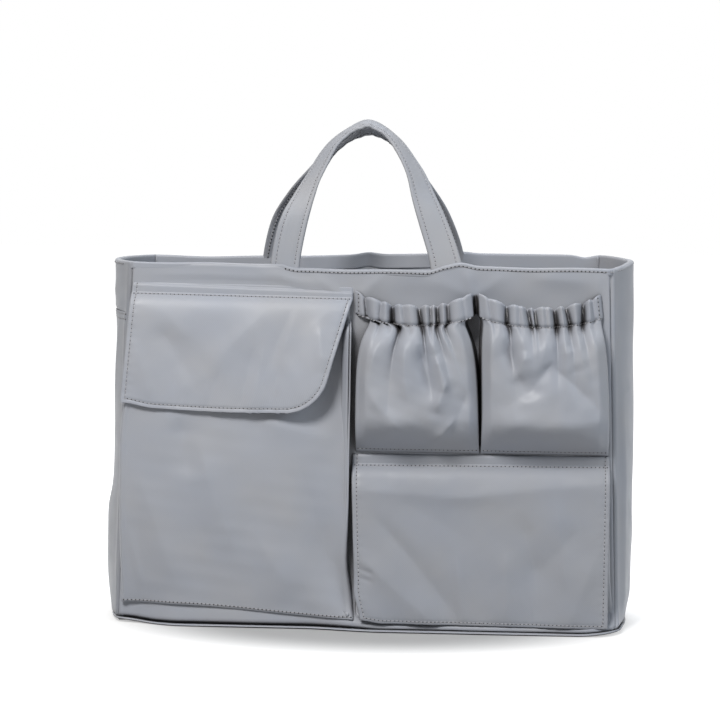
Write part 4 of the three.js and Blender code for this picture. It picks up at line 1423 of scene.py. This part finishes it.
RIGHT_POUCH = Pouch(
    foot=(RIGHT_BOTTLE_LOW[0] - 0.7, RIGHT_BOTTLE_HIGH[0]), hem=(66.4, 141.6),
    tucks=(2.0, 1.5), stands=(12.0, 2.0),
    valleys=[
        (0.10, 1.8, 6, 0), (0.225, 6.0, 26, 0.06), (0.325, 1.5, 5, 0), (0.416, 5.5, 11, 0),
        (0.464, 5.0, 10, 0), (0.545, 1.5, 5, 0), (0.624, 7.0, 24, -0.04), (0.731, 6.0, 26, 0.02),
        (0.835, 6.5, 18, 0.06), (0.936, 3.5, 10, 0),
    ],
    lines=[
        ((114, 172), (98, 150), 5.0, -2.0), ((85, 184), (97, 151), 5.0, -2.2),
        ((98, 152), (80, 138), 7.0, -0.4), ((116, 168), (147, 136), 5.0, -1.6),
        ((98, 178), (90, 160), 4.5, 2.2), ((125, 182), (129, 168), 5.0, 1.4),
        ((76, 186), (75, 150), 4.5, 1.2), ((80, 131), (142, 130), 12.0, 1.8),
    ],
    seed=94,
)


def pouch_pleat(name, pouch, u, inward):
    """Folded strip from the panel to one side of a bottle pocket's front."""
    v = spaced(0.05, 0.985, 1.2 / POUCH_HEIGHT)
    edge = pouch.face(np.full_like(v, u), v)
    start = -1.5 if pouch.stands[u] > SEWN_STAND else 0.9
    rows = []
    for share in np.linspace(0, 1, 11):
        fold_in = 3.0 * (1 - abs(2 * share - 1)) * rise(v, 0, 0.2) * (1 - 0.7 * rise(v, 0.6, 0.9))
        fold_in = fold_in + mix(start, 0.9, share)
        depth = mix(0.5, FRONT - edge[:, 1] - 0.15, share)
        rows.append(at(edge[:, 0] + inward * fold_in, FRONT - depth, edge[:, 2]))
    return cloth(name, np.stack(rows, axis=0), PLEAT_CLOTH, CREASE_SHADED, flip=inward < 0)


def pouch_pieces(name, pouch, body):
    """Front, hem, elastic, side pleats and stitching of one bottle pocket."""
    across = spaced(0, 1, 0.6 / pouch.width)
    up = spaced(0, 1, 1.0 / POUCH_HEIGHT)
    front = cloth(f"{name}_pouch", pouch.face(*grid(across, up)), POUCH_CLOTH, CREASE_SHADED)
    seat(front, body, [f"{name}_front"])
    inside = spaced(*CASING_ENDS, 1.0 / pouch.width)
    up = spaced(CASING_V - 0.01, 0.99, 1.2 / POUCH_HEIGHT)
    hem = cloth(f"{name}_hem_cloth", pouch.hem(*grid(inside, up)), POUCH_CLOTH, CREASE_SHADED)
    seat(hem, body, [f"{name}_hem"])
    up = spaced(CASING_V + 0.015, 0.98, 1.2 / POUCH_HEIGHT)
    band = cloth(f"{name}_elastic_band", pouch.elastic(*grid(inside, up)), ELASTIC_CLOTH, ELASTIC)
    seat(band, body, [f"{name}_elastic"])
    for side, u, inward in (("left", 0, 1), ("right", 1, -1)):
        pleat = pouch_pleat(f"{name}_pleat_{side}_cloth", pouch, u, inward)
        hinge_y = FRONT - PLEAT_HINGE_OUT
        bend = (metres(pouch.foot_ends[u], hinge_y - reach, SEAM_Z) for reach in PLEAT_BEND)
        sewn(pleat, f"{name}_pleat_{side}", across=(body, *bend))
    left, right = POUCH_ROW_ENDS
    paths = [np.linspace((left, v), (right, v), 160) for v in (CASING_V, POUCH_FOOT_ROW)]
    for u, stand in zip(POUCH_END_ROWS, pouch.stands):
        if stand < SEWN_STAND:
            paths.append(np.linspace((u, CASING_V), (u, POUCH_END_ROW_TOP), 30))
    runs = [run_of_stitches(pouch.face, path, dense=SHARE_STEP) for path in paths]
    thread = seat(stitching(f"{name}_stitching", runs), body)


# Slip pocket on the left side
SIDE_HEM = 4.2
SIDE_EDGE_ROW = 0.9
SIDE_ROW_GAP = 0.5
SIDE_END = SIDE_POCKET_HIGH[1]
SIDE_SLACK = 5.6
SIDE_FOLDS = [((-30, 190), (-10, 120), 5, 0.9), ((25, 188), (8, 130), 6, 0.9), ((-20, 80), (25, 30), 8, 0.9)]


def side_pocket_face(y, z):
    """Slip pocket: slack at its mouth, sewn down at its sides and foot."""
    wide = 1 - (y / SIDE_END) ** 2
    slack = SIDE_SLACK * hump(z, 42, 44) * wide - (SIDE_SINK - 1.1) * rise(wide, 0, 0.3)
    edge = SIDE_END - np.abs(y)
    relief = (folds(y, z, SIDE_FOLDS) + 0.4 * rolling(y, z, 34, 101)) * rise(edge, 0, 8)
    row = SIDE_TOP - SIDE_HEM
    hem = 0.3 * rise(z, row - 0.5, row + 0.5)
    groove = 0.35 * (hump(z, row, 0.7) + hump(z, SIDE_TOP - SIDE_EDGE_ROW, 0.5))
    x = -gusset_face(y, z) - 1.0 - slack - relief - hem + groove + rolled(edge, 0.9)
    return at(x, y, lifted(x, y, z))


# Dressing the walls
front_cloth = sewn(wall("front_panel_cloth", -1, front_relief, MEDIUM), "front_panel")
back_cloth = sewn(wall("back_panel_cloth", 1, back_relief, COARSE), "back_panel")
left_cloth = sewn(gusset("left_gusset_cloth", -1, left_gusset_relief, MEDIUM, LEFT_SIDE_PAINTED_DARKER), "left_gusset")
right_cloth = sewn(gusset("right_gusset_cloth", 1, right_gusset_relief, MEDIUM, CREASE_SHADED), "right_gusset")
bottom = sewn(bottom_panel(), "bottom_panel")
rim = sewn(rim_roll(), "rim_binding")
rim_thread = seat(stitching("rim_stitching", rim_runs()), "shell")

# Lining, felt and board
for name, facing, seed in (("front", -1, 31), ("back", 1, 33)):
    lining = lining_wall(f"lining_{name}_cloth", facing, seed)
    seat(lining, "shell", [f"lining_{name}"])
    felt = padding(f"{name}_padding", f"{name}_interlining", facing)
    seat(felt, "shell", [f"{name}_interlining"])
for name, side, seed in (("left", -1, 35), ("right", 1, 37)):
    lining = lining_side(f"lining_{name}_cloth", side, seed)
    seat(lining, "shell", [f"lining_{name}"])
floor_lining = seat(lining_floor(), "shell", ["lining_bottom"])
board = frame["nodes"]["base_board"]
board.data.materials.clear()
board.data.materials.append(BOARD)

# Straps
for name, rows, facing, seed in (("front", FRONT_STRAP, -1, 55), ("back", BACK_STRAP, 1, 57)):
    body = f"{name}_handle"
    obj, runs = strap(f"{name}_strap", rows, facing, seed)
    across = (body, *(metres(0, facing * STRAP_HINGE, z) for z in STRAP_BEND))
    seat(obj, "shell", [body, f"{body}_tail_left", f"{body}_tail_right"], across)
    thread = seat(stitching(f"{name}_strap_stitching", runs), "shell", across=across)


# Flap pockets with their flaps
def flap_pocket(name, face, size, foot_row):
    """Front, pleats and foot stitches of a flap pocket."""
    front = sewn(pocket_front(f"{name}_pocket_cloth", face, *size), f"{name}_pocket_front")
    pleats = sewn(bellows(f"{name}_pocket_pleats", face), f"{name}_pocket_bellows")
    threads = []
    if foot_row:
        v = foot_row / size[1]
        run = run_of_stitches(face, np.linspace((0.01, v), (0.99, v), 80), dense=SHARE_STEP)
        threads = [seat(stitching(f"{name}_pocket_stitching", [run]), "shell")]


def flap(name, face, cloth_grid, material, paths, hinge):
    """A flap with its band and stitches; hinge (x, z) sets the points handed on as across, and the pieces
    keep their place.
    """
    x, z = hinge
    across = (f"{name}_flap", *(metres(x, FRONT - FLAP_HINGE_OUT, z + reach) for reach in FLAP_BEND))
    obj = cloth(f"{name}_flap_cloth", face(*cloth_grid), FLAP_CLOTH, material)
    sewn(obj, f"{name}_flap", f"{name}_flap_band", across=across)
    runs = [run_of_stitches(face, path) for path in paths]
    thread = seat(stitching(f"{name}_flap_stitching", runs), "shell", across=across)


flap_pocket("left", left_pocket_face, LEFT_POCKET_SIZE, foot_row=1.0)
flap("left", left_flap_face, left_flap_grid(), LEFT_FLAP_PAINTED_LIGHTER, (LEFT_EDGE_PATH, LEFT_BAND_PATH),
     (-80, LEFT_HINGE))
flap_pocket("lower", lower_pocket_face, LOWER_POCKET_SIZE, foot_row=None)
flap("lower", lower_flap_face, lower_flap_grid(), LOWER_FLAP_PAINTED_DARKER, (LOWER_EDGE_PATH, LOWER_BAND_PATH),
     (70, LOWER_HINGE))


def closing_tapes(name, flap_face, loop_face):
    """Hook tape with its hooks on the back of a flap, and loop tape on the pocket behind it."""
    def flap_back(x, z):
        return flap_face(x, z)[..., 1] + FLAP_CLOTH

    hook_node, loop_node = f"{name}_flap_hook_tape", f"{name}_pocket_loop_tape"
    hook = tape(f"{name}_hook_strip", hook_node, flap_back, 1, HOOKS)
    seat(hook, f"{name}_flap", [hook_node])
    field = seat(hook_field(f"{name}_hooks", hook_node, flap_back), f"{name}_flap")
    loop = tape(f"{name}_loop_strip", loop_node, loop_face, -1, LOOPS)
    seat(loop, "shell", [loop_node])


closing_tapes("left", left_flap_face, left_loop_face)
closing_tapes("lower", lower_flap_face, lower_loop_face)

# Bottle pockets
pouch_pieces("left_bottle", LEFT_POUCH, "left_bottle_pocket")
pouch_pieces("right_bottle", RIGHT_POUCH, "right_bottle_pocket")

# Slip pocket
side_outer = side_pocket_face(*grid(spaced(-SIDE_END, SIDE_END, MEDIUM), spaced(PANEL_FOOT, SIDE_TOP, FINE)))
side_pocket = cloth("left_side_pocket_cloth", side_outer, SHELL_CLOTH, LEFT_SIDE_PAINTED_DARKER, flip=True)
sewn(side_pocket, "left_side_pocket")
side_runs = []
for drop in (SIDE_EDGE_ROW, SIDE_HEM):
    path = [(y, SIDE_TOP - drop) for y in (SIDE_ROW_GAP - SIDE_END, SIDE_END - SIDE_ROW_GAP)]
    side_runs.append(run_of_stitches(side_pocket_face, path, flip=True))
side_thread = seat(stitching("side_pocket_stitching", side_runs), "shell")

# Studio
CAMERA_AZIMUTH = math.radians(2.5)
CAMERA_ELEVATION = math.radians(4.8)
CAMERA_ROLL = math.radians(0.75)
CAMERA_DISTANCE = 1.5
AIM = Vector(metres(-5.6, FRONT, 167))
MM_PER_PIXEL = 0.617
IMAGE_PIXELS = 720
AMBIENT = 0.05
FLOOR_HALF = 6.0
FLOOR_WHITE = (0.5, 0.5, 0.5, 1)
GLOW_PLACE = (0, 0.18, 0)
GLOW_SQUEEZE = (6.3, 9, 1)
GLOW_START, GLOW_FULL = 0.6, 1.36
PLAIN_WHITE = (1, 1, 1, 1)
# Name, place, aim, size, watts and colour
LAMPS = [
    ("key", (-0.56, -1.41, 1.65), (0, 0, 0.13), 0.6, 38, (1.0, 0.985, 0.965)),
    ("fill", (1.5, -0.9, 1.0), (0, 0, 0.12), 0.9, 10, (0.82, 0.91, 1.0)),
    ("top", (0.1, 0.55, 2.0), (0, 0, 0.1), 0.9, 16, (0.92, 0.96, 1.0)),
]


def place_in_studio(name, data, location, direction, roll=0.0):
    """A camera or lamp at a place, looking in a direction."""
    obj = bpy.data.objects.new(name, data)
    obj.location = location
    obj.rotation_mode = "QUATERNION"
    obj.rotation_quaternion = direction.to_track_quat("-Z", "Y") @ Quaternion((0, 0, 1), roll)
    bpy.context.scene.collection.objects.link(obj)
    return obj


def camera():
    data = bpy.data.cameras.new("camera")
    data.sensor_width = 36
    data.lens = data.sensor_width * CAMERA_DISTANCE / (IMAGE_PIXELS * MM_PER_PIXEL * MM)
    data.clip_end = 20
    back = Vector((
        math.sin(CAMERA_AZIMUTH) * math.cos(CAMERA_ELEVATION),
        -math.cos(CAMERA_AZIMUTH) * math.cos(CAMERA_ELEVATION),
        math.sin(CAMERA_ELEVATION),
    ))
    place = AIM + back * CAMERA_DISTANCE
    bpy.context.scene.camera = place_in_studio("camera", data, place, -back, CAMERA_ROLL)


def area_light(name, place, aim, size, watts, colour):
    data = bpy.data.lights.new(name, "AREA")
    data.shape = "DISK"
    data.size = size
    data.energy = watts
    data.color = colour
    place_in_studio(name, data, place, Vector(aim) - Vector(place))


def seen_directly(tree):
    """1 for rays that show the background itself: from the camera, in gloss and through glass."""
    path = add_node(tree, "LightPath", {})
    total = path.outputs["Is Camera Ray"]
    for output in ("Is Glossy Ray", "Is Transmission Ray"):
        node = add_node(tree, "Math", {}, operation="MAXIMUM")
        tree.links.new(total, node.inputs[0])
        tree.links.new(path.outputs[output], node.inputs[1])
        total = node.outputs["Value"]
    return total


def world():
    """White where it is seen, and a dimmer white light all round."""
    studio = bpy.data.worlds.new("studio")
    bpy.context.scene.world = studio
    studio.use_nodes = True
    tree = studio.node_tree
    background = tree.nodes["Background"]
    strength = add_node(tree, "MapRange", {"To Min": AMBIENT, "To Max": 1.0})
    tree.links.new(seen_directly(tree), strength.inputs["Value"])
    link(tree, strength, "Result", background, "Strength")
    set_inputs(background, {"Color": PLAIN_WHITE})


def floor():
    """Pale floor that keeps the shadow round the object and goes to white away from it."""
    mesh = bpy.data.meshes.new("floor")
    corners = [(x * FLOOR_HALF, y * FLOOR_HALF, 0) for x, y in ((-1, -1), (1, -1), (1, 1), (-1, 1))]
    mesh.from_pydata(corners, [], [(0, 1, 2, 3)])
    obj = bpy.data.objects.new("floor", mesh)
    bpy.context.scene.collection.objects.link(obj)
    material = bpy.data.materials.new("floor_paper")
    material.use_nodes = True
    tree = material.node_tree
    shader = tree.nodes["Principled BSDF"]
    set_inputs(shader, {"Base Color": FLOOR_WHITE, "Emission Color": PLAIN_WHITE})
    set_inputs(shader, {"Roughness": 1.0, "Specular IOR Level": 0.0})
    where = add_node(tree, "TexCoord", {})
    squeeze = add_node(tree, "Mapping", {"Location": GLOW_PLACE, "Scale": GLOW_SQUEEZE})
    distance = add_node(tree, "VectorMath", {}, operation="LENGTH")
    span = {"From Min": GLOW_START, "From Max": GLOW_FULL, "To Min": 0.0, "To Max": 1.0}
    glow = add_node(tree, "MapRange", span, interpolation_type="SMOOTHSTEP")
    strength = add_node(tree, "Math", {}, operation="MULTIPLY")
    link(tree, where, "Object", squeeze, "Vector")
    link(tree, squeeze, "Vector", distance, 0)
    link(tree, distance, "Value", glow, "Value")
    link(tree, glow, "Result", strength, 0)
    tree.links.new(seen_directly(tree), strength.inputs[1])
    link(tree, strength, "Value", shader, "Emission Strength")
    mesh.materials.append(material)


camera()
world()
floor()
for lamp in LAMPS:
    area_light(*lamp)
bpy.context.scene.view_settings.view_transform = "Standard"
